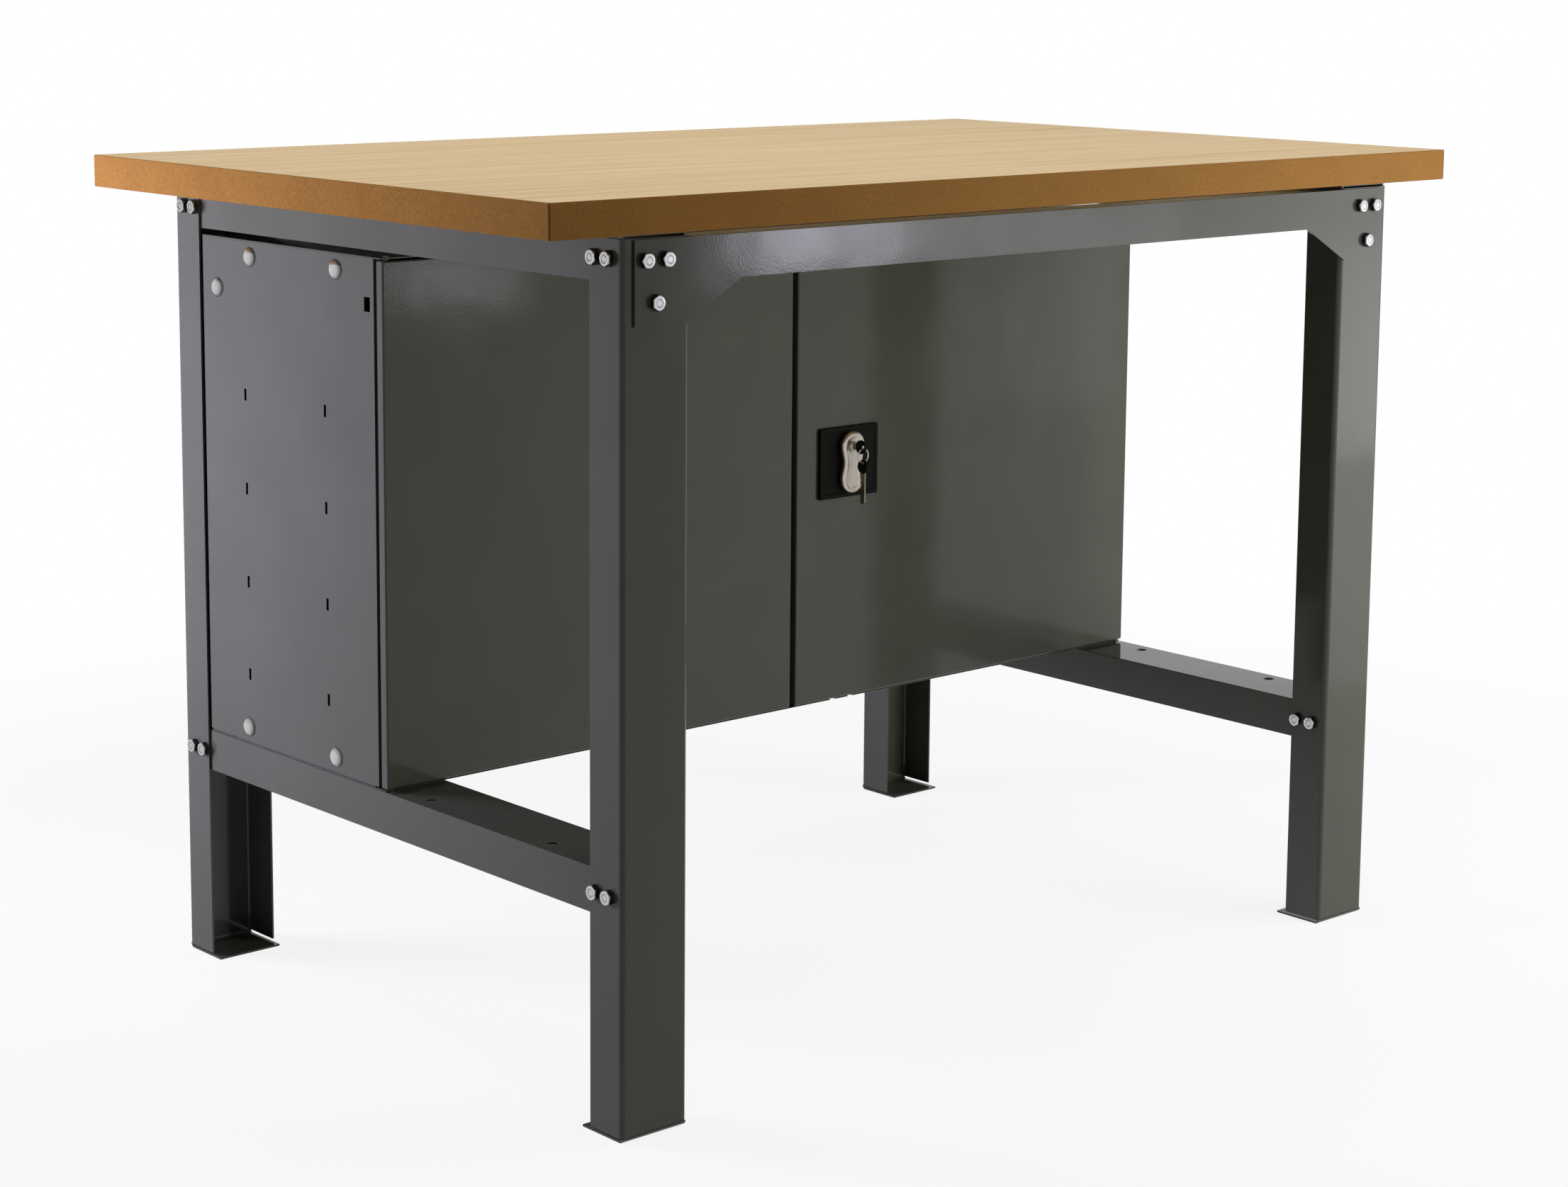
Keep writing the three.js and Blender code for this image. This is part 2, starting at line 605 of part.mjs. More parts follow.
// Shelf, a tray with its edges turned down, standing on four of the tabs
const shelfBottom = lanceHeights[SHELF_LANCE] + LANCE_HEIGHT / 2 + CAB_SHEET + GAP;
const shelfEnd = FLANGE_INNER - SHELF_END_GAP;
const shelfYs = [CAB_FRONT + SHELF_FRONT, CAB_BACK - CAB_SHEET - SHELF_BACK_GAP];
const shelfHeights = [shelfBottom - SHELF_EDGE, shelfBottom + CAB_SHEET];
const shelf = join([
  block([-shelfEnd, shelfEnd], shelfYs, [shelfBottom, shelfBottom + CAB_SHEET]),
  block([-shelfEnd, shelfEnd], [shelfYs[0], shelfYs[0] + CAB_SHEET], shelfHeights),
  block([-shelfEnd, shelfEnd], [shelfYs[1], shelfYs[1] - CAB_SHEET], shelfHeights),
]);
addPart('cabinet_shelf', shelf, paint);

// Doors
const rodPlaces = SIDES.map(([, side]) => LOCK_X + side * ROD_OFFSET);
function door(side) {
  const free = side * DOOR_FREE;
  const hinge = side * CAB_OUTER;
  const pan = cut(block([free, hinge], [DOOR_FACE, DOOR_BACK], [DOOR_BOTTOM, DOOR_TOP]), [
    block(
      [free + side * DOOR_SHEET, hinge - side * DOOR_SHEET],
      [DOOR_FACE + DOOR_SHEET, DOOR_BACK + CUT_OVERRUN],
      [DOOR_BOTTOM + DOOR_SHEET, DOOR_TOP - DOOR_SHEET],
    ),
  ]);
  const through = [DOOR_BOTTOM - CUT_OVERRUN, DOOR_TOP + CUT_OVERRUN];
  const holes = [bar('z', [side * HINGE_X, DOOR_MIDDLE], ...through, PIN + TURN_CLEARANCE)];
  if (side > 0) {
    const face = [DOOR_FACE - CUT_OVERRUN, DOOR_FACE + DOOR_SHEET + CUT_OVERRUN];
    holes.push(bar('y', [LOCK_X, SPINDLE_Z], ...face, SPINDLE + HOLE_CLEARANCE, FINE_SIDES));
    for (const x of rodPlaces) {
      holes.push(bar('z', [x, DOOR_MIDDLE], ...through, ROD + TURN_CLEARANCE));
    }
  }
  return cut(pan, holes);
}

// A pivot pin with its collar inside the door
function hingePin(side, tip, doorEdge, direction) {
  const centre = [side * HINGE_X, DOOR_MIDDLE];
  const collarFace = doorEdge - direction * (DOOR_SHEET + GAP);
  const collarEnd = collarFace - direction * PIN_COLLAR_HEIGHT;
  return join([
    bar('z', centre, tip, collarEnd + direction * ROOT_OVERLAP, PIN),
    bar('z', centre, collarFace, collarEnd, PIN_COLLAR),
  ]);
}

for (const [sideName, side] of SIDES) {
  addPart(`door_${sideName}`, door(side), paint);
  addPart(`hinge_pin_top_${sideName}`, hingePin(side, CAB_TOP + PIN_PROUD, DOOR_TOP, 1), zinc);
  addPart(`hinge_pin_bottom_${sideName}`, hingePin(side, CAB_BOTTOM, DOOR_BOTTOM, -1), zinc);
}

// Lock plate with rounded corners
function lockPlate() {
  const [left, right] = [LOCK_X - PLATE_WIDTH / 2, LOCK_X + PLATE_WIDTH / 2];
  const [bottom, top] = [LOCK_HEIGHT - PLATE_HEIGHT / 2, LOCK_HEIGHT + PLATE_HEIGHT / 2];
  const outline = new THREE.Shape();
  outline.moveTo(left + PLATE_CORNER, bottom);
  outline.lineTo(right - PLATE_CORNER, bottom);
  outline.absarc(right - PLATE_CORNER, bottom + PLATE_CORNER, PLATE_CORNER, -Math.PI / 2, 0);
  outline.absarc(right - PLATE_CORNER, top - PLATE_CORNER, PLATE_CORNER, 0, Math.PI / 2);
  outline.absarc(left + PLATE_CORNER, top - PLATE_CORNER, PLATE_CORNER, Math.PI / 2, Math.PI);
  outline.absarc(left + PLATE_CORNER, bottom + PLATE_CORNER, PLATE_CORNER, Math.PI, Math.PI * 1.5);
  const through = [PLATE_BACK + CUT_OVERRUN, PLATE_FACE - CUT_OVERRUN];
  const hole = bar('y', [LOCK_X, SPINDLE_Z], ...through, SPINDLE + HOLE_CLEARANCE, FINE_SIDES);
  return plate(outline, PLATE_BACK, PLATE_FACE).subtract(hole);
}

// Handle: two round lobes with a waist between them, and the hollow spindle behind the upper lobe
function lockHandle() {
  const lowerZ = SPINDLE_Z - HANDLE_PITCH;
  const waist = block(
    [LOCK_X - HANDLE_WAIST, LOCK_X + HANDLE_WAIST],
    [HANDLE_BACK, HANDLE_FACE],
    [lowerZ, SPINDLE_Z],
  );
  const lobes = [SPINDLE_Z, lowerZ].map((z) =>
    bar('y', [LOCK_X, z], HANDLE_FACE, HANDLE_BACK, HANDLE_LOBE * 2, FINE_SIDES));
  const axis = [LOCK_X, SPINDLE_Z];
  const through = [HANDLE_FACE - CUT_OVERRUN, SPINDLE_END + CUT_OVERRUN];
  const spindle = bar('y', axis, HANDLE_FACE + ROOT_OVERLAP, SPINDLE_END, SPINDLE, FINE_SIDES);
  const bore = bar('y', axis, ...through, PLUG + TURN_CLEARANCE, FINE_SIDES);
  return cut(join([waist, ...lobes, spindle]), [bore]);
}

// Lock plug with its keyway
function lockPlug() {
  const body = bar('y', [LOCK_X, SPINDLE_Z], PLUG_FACE, SPINDLE_END, PLUG, FINE_SIDES);
  const halfSlot = KEY_THICK / 2 + GAP;
  const halfWidth = KEY_BLADE_WIDTH / 2 + GAP;
  const keyway = block(
    [LOCK_X - halfSlot, LOCK_X + halfSlot],
    [PLUG_FACE - CUT_OVERRUN, PLUG_FACE + KEY_BLADE_LENGTH + GAP],
    [SPINDLE_Z - halfWidth, SPINDLE_Z + halfWidth],
  );
  return body.subtract(keyway);
}

// A key in a plane of constant X: blade along +Y from the shoulder, bow towards -Y with a hole for the ring
function keySolid(x, shoulderY, z) {
  const bowY = shoulderY - KEY_BOW / 2;
  const holeY = bowY - KEY_BOW / 2 + KEY_HOLE_INSET;
  const bow = bar('x', [bowY, z], x - KEY_THICK / 2, x + KEY_THICK / 2, KEY_BOW, FINE_SIDES);
  const blade = block(
    [x - KEY_THICK / 2, x + KEY_THICK / 2],
    [bowY, shoulderY + KEY_BLADE_LENGTH],
    [z - KEY_BLADE_WIDTH / 2, z + KEY_BLADE_WIDTH / 2],
  );
  const hole = bar('x', [holeY, z], x - KEY_THICK, x + KEY_THICK, KEY_HOLE);
  return bow.add(blade).subtract(hole);
}

const keyShoulder = PLUG_FACE - KEY_SHOULDER;
const keyHoleY = keyShoulder - KEY_BOW + KEY_HOLE_INSET;
const ringDrop = KEY_HOLE / 2 - RING_WIRE / 2 - GAP;
const ringTopZ = SPINDLE_Z - ringDrop;
const ringCentreZ = ringTopZ - (RING - RING_WIRE) / 2;
const spareHoleZ = ringCentreZ - (RING - RING_WIRE) / 2 - ringDrop;

addPart('lock_plate', lockPlate(), blackPlastic);
addPart('lock_handle', lockHandle(), satinMetal);
addPart('lock_plug', lockPlug(), satinMetal);
addPart('key', keySolid(LOCK_X, keyShoulder, SPINDLE_Z), blackPlastic);

// Key ring through the bow of the key
const ringGeometry = new THREE.TorusGeometry((RING - RING_WIRE) / 2, RING_WIRE / 2, WIRE_SIDES, FINE_SIDES);
ringGeometry.rotateX(Math.PI / 2);
ringGeometry.translate(LOCK_X, keyHoleY, ringCentreZ);
addPart('key_ring', solidOf(ringGeometry), zinc);

// Spare key, hanging from the ring with its blade down
const spareGeometry = geometryOf(keySolid(0, KEY_BOW - KEY_HOLE_INSET, 0));
spareGeometry.rotateX(-Math.PI / 2);
spareGeometry.translate(LOCK_X, keyHoleY, spareHoleZ);
const sparePart = new THREE.Mesh(spareGeometry, new THREE.MeshStandardMaterial(blackPlastic));
sparePart.name = 'spare_key';
bench.add(sparePart);

// Cam disc on the tail of the spindle, and the two rods that it throws
const camFace = DOOR_BACK + GAP;
const camBack = camFace + CAM_THICK;
const camBoreEnds = [camFace - CUT_OVERRUN, camBack + CUT_OVERRUN];
const camDisc = bar('y', [LOCK_X, SPINDLE_Z], camFace, camBack, CAM, FINE_SIDES);
const camBore = bar('y', [LOCK_X, SPINDLE_Z], ...camBoreEnds, SPINDLE + CAM_BORE_CLEARANCE, FINE_SIDES);
addPart('lock_cam', camDisc.subtract(camBore), zinc);
const [lowerRodX, upperRodX] = rodPlaces;
const upperRod = bar('z', [upperRodX, DOOR_MIDDLE], SPINDLE_Z - ROD_OVERLAP, DOOR_TOP + ROD_PROUD, ROD);
const lowerRod = bar('z', [lowerRodX, DOOR_MIDDLE], DOOR_BOTTOM - ROD_PROUD, SPINDLE_Z + ROD_OVERLAP, ROD);
addPart('lock_rod_upper', upperRod, zinc);
addPart('lock_rod_lower', lowerRod, zinc);

export default bench;
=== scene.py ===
import math

import bmesh
import bpy
import numpy as np
from mathutils import Matrix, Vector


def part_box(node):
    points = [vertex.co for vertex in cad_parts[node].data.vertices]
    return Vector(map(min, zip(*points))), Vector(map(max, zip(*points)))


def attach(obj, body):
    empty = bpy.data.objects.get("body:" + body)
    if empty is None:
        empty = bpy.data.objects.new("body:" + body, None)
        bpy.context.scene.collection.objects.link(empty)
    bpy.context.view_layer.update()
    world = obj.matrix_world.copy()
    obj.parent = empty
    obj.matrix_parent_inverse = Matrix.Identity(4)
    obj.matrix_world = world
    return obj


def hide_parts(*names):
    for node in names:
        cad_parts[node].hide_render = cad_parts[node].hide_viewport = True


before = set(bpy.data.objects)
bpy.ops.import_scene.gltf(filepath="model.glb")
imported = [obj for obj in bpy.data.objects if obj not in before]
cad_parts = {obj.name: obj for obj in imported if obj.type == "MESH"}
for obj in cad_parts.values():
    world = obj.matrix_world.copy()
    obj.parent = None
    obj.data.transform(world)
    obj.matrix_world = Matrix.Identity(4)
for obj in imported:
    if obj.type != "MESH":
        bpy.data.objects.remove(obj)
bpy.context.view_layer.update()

bl_info = {
    "name": "Steel workbench with cabinet",
    "version": (1, 0, 0),
    "blender": (4, 5, 0),
    "location": "View3D > Sidebar > Workbench",
    "description": "Dresses a steel workbench with a two-door cabinet piece by piece",
    "category": "Object",
}

X, Y, Z = np.eye(3)
SIDES = (("left", -1.0), ("right", 1.0))
ENDS = (("front", -1.0), ("back", 1.0))
CORNERS = [(end, side, way, hand) for end, way in ENDS for side, hand in SIDES]

# Lengths in metres: the eased rim of cut sheet, how far joined shells reach into each other, the smallest
# corner radius, and the distance at which two points count as one.
CUT_RIM = 0.0003
OVERLAP = 0.001
LEAST_CORNER = 0.0002
SAME_POINT = 1e-6
# A corner's largest radius as a share of the half width.
MOST_ROUND = 0.999
# Angles in degrees: edges above the first stay sharp, or above the second on domes and eased sheet, and
# triangles within the third are one flat face.
CREASE = 40.0
FINE_CREASE = 30.0
FLAT = 1.0
# Range in which most of a noise's values lie, as sockets of a Map Range.
NOISE_SPAN = {"From Min": 0.3, "From Max": 0.7}
# Sockets of a Mix node that mixes colours: its share, its two colours and what comes out.
SHARE, FIRST, SECOND, MIXED = 0, 6, 7, 2


def linear(code):
    """Turns an sRGB hex colour into the linear values that shaders take."""
    parts = np.array([int(code[i:i + 2], 16) for i in (1, 3, 5)]) / 255.0
    return tuple(np.where(parts <= 0.04045, parts / 12.92, ((parts + 0.055) / 1.055) ** 2.4).tolist())


def length(title, words, default):
    """A size in metres that the sidebar shows in scene units."""
    return bpy.props.FloatProperty(
        name=title, description=words, default=default, min=0.0, unit="LENGTH", precision=5)


def colour(title, words, code):
    """A colour that the sidebar shows as a swatch."""
    return bpy.props.FloatVectorProperty(
        name=title, description=words, default=linear(code), subtype="COLOR", size=3, min=0.0, max=1.0)


def angle(title, words, degrees):
    """An angle that the sidebar shows in degrees."""
    return bpy.props.FloatProperty(
        name=title, description=words, default=math.radians(degrees), subtype="ANGLE")


class BenchSizes(bpy.types.PropertyGroup):
    """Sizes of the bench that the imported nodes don't give."""

    board_ease: length("Board edge", "Radius of the worktop's eased edges", 0.0012)
    board_corner: length("Board corner", "Radius of the worktop's upright corners", 0.002)
    sheet: length("Frame sheet", "Thickness of the legs' sheet", 0.002)
    bend: length("Bend radius", "Radius of the legs' folds at the sheet's middle", 0.004)
    foot_inset: length("Foot inset", "How far a foot plate stops short of the leg's rounded corners", 0.0015)
    flange: length("Leg flange", "Depth of a leg's two flanges", 0.045)
    slit: length("Foot slit", "Gap between a leg's flanges and its foot plate", 0.0025)
    frame_ease: length("Frame edge", "Rounding of the rails' and beams' folds", 0.0009)
    cabinet_ease: length("Cabinet edge", "Rounding of the cabinet's folds", 0.0004)
    door_sheet: length("Door sheet", "Thickness of the doors' sheet", 0.001)
    door_ease: length("Door edge", "Radius of the doors' folded edges", 0.0018)
    head_flats: length("Bolt head", "Width across flats of the frame bolts", 0.013)
    head_height: length("Bolt head height", "Height of the frame bolts' heads", 0.0053)
    shank: length("Shank", "Diameter of every bolt's shank", 0.008)
    rail_bolt_pitch: length("Rail bolt pitch", "Distance between the two bolts of a rail's end", 0.020)
    gusset_bolt_pitch: length("Gusset bolt pitch", "Distance between the two upper bolts of a gusset", 0.023)
    spacer_height: length("Spacer", "Height of the spacer inside a rail's end", 0.014)
    nut_plate_thick: length("Nut plate", "Thickness of the nut plate behind a gusset", 0.006)
    nut_plate_margin: length("Nut plate margin", "Distance from a bolt to the nut plate's edge", 0.008)
    fit_gap: length("Fit gap", "Free space between pieces that are bolted together", 0.0003)
    dome_height: length("Dome", "Height of the cabinet bolts' domed heads", 0.005)
    cabinet_nut_height: length("Cabinet nut", "Height of the cabinet bolts' nuts", 0.0065)
    plate_corner: length("Lock plate corner", "Radius of the lock plate's corners", 0.0025)
    plate_ease: length("Lock plate edge", "Radius of the lock plate's front edge", 0.0012)
    handle_ease: length("Handle edge", "Radius of the handle's front edge", 0.0036)
    handle_dish: length("Handle dish", "Depth of the hollow in the handle's face", 0.0016)
    spindle: length("Spindle", "Diameter of the handle's spindle", 0.016)
    key_head: length("Key head", "Thickness of a key's moulded head", 0.0032)
    key_blade: length("Key blade", "Width of a key's blade", 0.007)
    key_hole: length("Key hole", "Diameter of the hole in a key's head", 0.005)
    key_hole_inset: length("Key hole inset", "Distance from a key's hole to the end of its head", 0.004)


class BenchColours(bpy.types.PropertyGroup):
    """Colours of the bench's finishes."""

    coat: colour("Coated steel", "Powder coat of the frame, cabinet and doors", "#46473f")
    board: colour("Board face", "Light grain of the worktop's face", "#e4c793")
    grain: colour("Board grain", "Darker streaks of the worktop's face", "#cfa86c")
    edge: colour("Board edge", "Fibreboard at the worktop's edges", "#8f6530")
    zinc: colour("Zinc", "Plating of the bolts, pins and rods", "#c3c4c5")
    plastic: colour("Black plastic", "Lock plate and key heads", "#0d0d0b")
    nickel: colour("Satin nickel", "Lock handle, plug and key ring", "#bdb6ab")
    key: colour("Key brass", "Plated brass of the key blades", "#857d6a")
    floor: colour("Floor", "Pale studio floor", "#f4f4f2")


class BenchStage(bpy.types.PropertyGroup):
    """Camera of the stage."""

    place: bpy.props.FloatVectorProperty(
        name="Camera", description="Where the camera stands", default=(-2.1712, -2.4146, 1.0468),
        subtype="TRANSLATION", unit="LENGTH", size=3)
    azimuth: angle("Azimuth", "Turn of the camera round the bench", -41.79)
    elevation: angle("Elevation", "Height of the camera's look above the horizon", 8.31)
    roll: angle("Roll", "Turn of the camera about its own look", 0.45)
    lens: bpy.props.FloatProperty(
        name="Lens", description="Focal length on a 36 mm wide sensor", default=71.34, unit="CAMERA")
    shift: bpy.props.FloatProperty(
        name="Shift", description="Upright shift of the picture in frame widths", default=-0.12)


# Surfaces


def loft(rings, closed=False):
    """Skin over a stack of rings: point n of ring k is joined to point n + 1 and to the same two points
    of ring k + 1. The end rings are capped, or joined to each other when the stack is closed."""
    rings = np.asarray(rings, float)
    count, size = rings.shape[:2]
    index = np.arange(count * size).reshape(count, size)
    rows = np.vstack([index, index[:1]]) if closed else index
    near, far = rows[:-1], rows[1:]
    quads = np.stack([near, np.roll(near, -1, 1), np.roll(far, -1, 1), far], -1).reshape(-1, 4).tolist()
    caps = [] if closed else [index[0][::-1].tolist(), index[-1].tolist()]
    return rings.reshape(-1, 3), quads + caps


def placed(flat, height, centre, axes):
    """Puts plane points into space: centre + u * first axis + v * second axis + height * third axis."""
    flat = np.asarray(flat, float)
    lift = np.broadcast_to(np.asarray(height, float), flat.shape[:-1])
    return np.asarray(centre, float) + np.concatenate([flat, lift[..., None]], -1) @ np.asarray(axes, float)


def rounded_loop(half, radius, steps=6):
    """Rectangle with round corners: each corner's centre plus radius * (cos, sin) over its quarter."""
    half = np.asarray(half, float)
    radius = min(radius, half.min() * MOST_ROUND)
    quarters = np.arange(4)[:, None] * (np.pi / 2) + np.linspace(0, np.pi / 2, steps)[None, :]
    signs = np.array([[1, 1], [-1, 1], [-1, -1], [1, -1]], float)[:, None, :]
    turn = np.stack([np.cos(quarters), np.sin(quarters)], -1)
    return (signs * (half - radius) + radius * turn).reshape(-1, 2)


def stacked(centre, half, corner, levels, axes):
    """Rounded rectangles one behind another: each level (inset, height) draws the outline in by its inset."""
    half = np.asarray(half, float)
    rings = [placed(rounded_loop(half - inset, max(corner - inset, LEAST_CORNER)), height, centre, axes)
             for inset, height in levels]
    return loft(rings)


def quarter_levels(radius, start, end, steps=5):
    """Levels of a rounded edge: inset = r(1 - cos a), and height goes from start to end as sin a."""
    turn = np.linspace(0, np.pi / 2, steps)
    return [(radius * (1 - math.cos(a)), start + (end - start) * math.sin(a)) for a in turn]


def fold(corners, radius, thick, steps=6):
    """Outline of folded sheet: a centre line runs straight between its corners and turns each one on an arc
    of the bend radius, and the outline lies half the thickness to both sides of it."""
    corners = np.asarray(corners, float)
    runs = np.diff(corners, axis=0)
    runs /= np.linalg.norm(runs, axis=1)[:, None]
    sides = np.stack([-runs[:, 1], runs[:, 0]], -1)
    line, normals = [corners[:1]], [sides[:1]]
    for place, before, after, side in zip(corners[1:-1], runs[:-1], runs[1:], sides[:-1]):
        turn = np.sign(before[0] * after[1] - before[1] * after[0])
        sweep = np.linspace(0, np.pi / 2, steps)[:, None]
        outward = -turn * side * np.cos(sweep) + before * np.sin(sweep)
        line.append(place - radius * before + turn * radius * side + radius * outward)
        normals.append(-turn * outward)
    line, normals = np.vstack(line + [corners[-1:]]), np.vstack(normals + [sides[-1:]])
    return np.vstack([line + normals * thick / 2, (line - normals * thick / 2)[::-1]])


def frame_round(axis):
    """Three axes whose last is the given direction and whose first two stand square to it."""
    first = Z if abs(axis[2]) < 0.5 else X
    return np.array([first, np.cross(axis, first), axis])


def turned(centre, axis, levels, flats=0.0, start=0.0, sides=48):
    """Rings round an axis, one for each level (height, radius). A radius beyond the hexagon of the given
    width across flats is cut down to it: r = flats / 2 / cos(angle from the nearest flat)."""
    angles = np.arange(sides) * 2 * np.pi / sides
    hexagon = np.full(sides, np.inf)
    if flats:
        hexagon = flats / 2 / np.cos((angles + np.pi / 6) % (np.pi / 3) - np.pi / 6)
    angles = angles + start
    levels = np.asarray(levels, float)
    radii = np.minimum(levels[:, 1:2], hexagon[None, :])
    rings = np.stack([radii * np.cos(angles), radii * np.sin(angles)], -1)
    return loft(placed(rings, levels[:, :1], centre, frame_round(axis)))


def bar(centre, axis, start, end, radius, sides=24):
    """A plain round bar from one height to another along an axis."""
    return turned(centre, axis, [(start, radius), (end, radius)], sides=sides)


def painted_shade_points(shells, levels, heads):
    """How much painted shade darkens the zinc at every point: each of the first shells, the heads, takes one
    value for each of its levels, ring by ring, and the others, which lie in the dark, take half as painted
    shade."""
    levels = np.asarray(levels, float)
    head_shade = [np.repeat(levels, len(points) // len(levels)) for points, _ in shells[:heads]]
    return np.concatenate(head_shade + [np.full(len(points), 0.5) for points, _ in shells[heads:]])


def tube_ring(centre, radius, wire, axes, sides=12, turns=64):
    """Torus, a wire circle carried round a larger circle:
    ((R + r cos b) cos a, (R + r cos b) sin a, r sin b)."""
    around = np.arange(turns)[:, None] * 2 * np.pi / turns
    across = np.arange(sides)[None, :] * 2 * np.pi / sides
    reach = radius + wire * np.cos(across)
    flat = np.stack([reach * np.cos(around), reach * np.sin(around)], -1)
    return loft(placed(flat, wire * np.sin(across) + 0 * around, centre, axes), closed=True)


def peanut(inset, half_height, waist, lobe, count=96):
    """Two-lobed outline, a Cassini oval: r^2 = a^2 cos 2t + sqrt(b^4 - a^4 sin^2 2t), stretched sideways to
    the lobe's half width, and drawn in along its own normals by the inset."""
    b2 = (half_height ** 2 + waist ** 2) / 2
    a2 = (half_height ** 2 - waist ** 2) / 2
    t = np.arange(count) * 2 * np.pi / count
    r = np.sqrt(a2 * np.cos(2 * t) + np.sqrt(b2 ** 2 - (a2 * np.sin(2 * t)) ** 2))
    side = r * np.sin(t)
    outline = np.stack([side * lobe / np.abs(side).max(), r * np.cos(t)], -1)
    along = np.roll(outline, -1, 0) - np.roll(outline, 1, 0)
    along /= np.linalg.norm(along, axis=1)[:, None]
    return outline - inset * np.stack([-along[:, 1], along[:, 0]], -1)


# Pieces


def make_piece(name, shells, looks, body, nodes, crease=CREASE, shade_values=None):
    """One object at the origin from closed shells. Each shell is (points, faces) or (points, faces, the look
    of each face), its faces are turned outwards, and edges sharper than the crease stay sharp. Large faces
    rule the normals, so flat ones mirror as flat. Shade values, one a point, are painted shade that darkens
    the zinc."""
    points, faces, look = [], [], []
    for shell in shells:
        start = sum(len(p) for p in points)
        points.append(shell[0])
        faces += [[start + i for i in face] for face in shell[1]]
        look += list(shell[2]) if len(shell) > 2 else [0] * len(shell[1])
    mesh = bpy.data.meshes.new(name)
    mesh.from_pydata(np.vstack(points).tolist(), [], faces)
    mesh.polygons.foreach_set("material_index", look)
    if shade_values is not None:
        mesh.attributes.new("painted_shade", "FLOAT", "POINT").data.foreach_set("value", shade_values)
    piece = finish_piece(name, mesh, looks, body, nodes, crease)
    flat = piece.modifiers.new("flat faces", "WEIGHTED_NORMAL")
    flat.keep_sharp = True
    return piece


def finish_piece(name, mesh, looks, body, nodes, crease):
    """Turns the mesh's faces outwards, smooths it up to the crease, and hands it to its body and nodes."""
    work = bmesh.new()
    work.from_mesh(mesh)
    bmesh.ops.recalc_face_normals(work, faces=work.faces)
    work.to_mesh(mesh)
    work.free()
    mesh.polygons.foreach_set("use_smooth", [True] * len(mesh.polygons))
    mesh.set_sharp_from_angle(angle=math.radians(crease))
    for look in looks:
        mesh.materials.append(finish(look))
    piece = bpy.data.objects.new(name, mesh)
    bpy.context.scene.collection.objects.link(piece)
    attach(piece, body)
    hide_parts(*nodes)
    return piece


def eased_copy(node, name, width, look, body, grow=0.0):
    """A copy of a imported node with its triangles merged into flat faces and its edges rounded. Its top and
    bottom grow by the given length, which closes the hairline fit gap of a sheet that stands in a tray."""
    mesh = bpy.data.meshes.new(name)
    work = bmesh.new()
    work.from_mesh(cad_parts[node].data)
    bmesh.ops.remove_doubles(work, verts=work.verts, dist=SAME_POINT)
    bmesh.ops.dissolve_limit(work, angle_limit=math.radians(FLAT), verts=work.verts, edges=work.edges)
    work.to_mesh(mesh)
    work.free()
    points = np.empty((len(mesh.vertices), 3), np.float32)
    mesh.vertices.foreach_get("co", points.ravel())
    heights = points[:, 2]
    ends = [np.isclose(heights, end, atol=SAME_POINT) for end in (heights.max(), heights.min())]
    points[:, 2] += np.select(ends, [grow, -grow], 0.0)
    mesh.vertices.foreach_set("co", points.ravel())
    piece = finish_piece(name, mesh, [look], body, [node], FINE_CREASE)
    ease = piece.modifiers.new("eased edges", "BEVEL")
    ease.width = width
    ease.segments = 3
    ease.limit_method = "ANGLE"
    ease.angle_limit = math.radians(CREASE)
    ease.harden_normals = True
    return piece


def dress(node, look):
    """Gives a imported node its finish, its shape being right as it is."""
    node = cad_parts[node]
    if not node.material_slots:
        node.data.materials.append(None)
    for place in node.material_slots:
        place.material = finish(look)


# Finishes


def connect(tree, node, sockets):
    """Gives each of a node's inputs a value, or the output that feeds it."""
    for key, value in sockets.items():
        if isinstance(value, bpy.types.NodeSocket):
            tree.links.new(value, node.inputs[key])
        else:
            node.inputs[key].default_value = value


def add(tree, kind, sockets=None, **settings):
    """Adds a node with its own settings and connects its inputs."""
    node = tree.nodes.new(kind)
    for key, value in settings.items():
        setattr(node, key, value)
    connect(tree, node, sockets or {})
    return node


def opaque(value):
    """A linear colour with full alpha."""
    return (*value, 1.0)


def shaded(value, share):
    """A linear colour made darker or lighter by a share."""
    return (*(min(1.0, v * share) for v in value), 1.0)


def per_mm(size):
    """Scale of a pattern in object metres whose marks are so many millimetres across."""
    return 1000.0 / size


def start_material(name):
    """An empty node tree with its object coordinates, output and main shader."""
    material = bpy.data.materials.new(name)
    material.use_nodes = True
    tree = material.node_tree
    tree.nodes.clear()
    place = add(tree, "ShaderNodeTexCoord").outputs["Object"]
    shader = add(tree, "ShaderNodeBsdfPrincipled")
    add(tree, "ShaderNodeOutputMaterial", {"Surface": shader.outputs["BSDF"]})
    return material, tree, place, shader


def mottled(tree, place, shader, colour, marks, tones, gloss=None, relief=0.0, detail=3.0):
    """Mottling by one noise whose marks are so many millimetres across. It moves the colour between two shares
    and, where they are given, the roughness between two values and the surface by the relief's strength.
    Gives the colour's output."""
    noise = add(tree, "ShaderNodeTexNoise", {
        "Vector": place, "Scale": per_mm(marks), "Detail": detail}).outputs["Fac"]
    tone = add(tree, "ShaderNodeMix", {
        SHARE: noise, FIRST: shaded(colour, tones[0]), SECOND: shaded(colour, tones[1])}, data_type="RGBA")
    connect(tree, shader, {"Base Color": tone.outputs[MIXED]})
    if gloss:
        rough = add(tree, "ShaderNodeMapRange", {
            "Value": noise, **NOISE_SPAN, "To Min": gloss[0], "To Max": gloss[1]})
        connect(tree, shader, {"Roughness": rough.outputs["Result"]})
    if relief:
        bump = add(tree, "ShaderNodeBump", {"Height": noise, "Strength": relief, "Distance": 0.0002})
        connect(tree, shader, {"Normal": bump.outputs["Normal"]})
    return tone.outputs[MIXED]


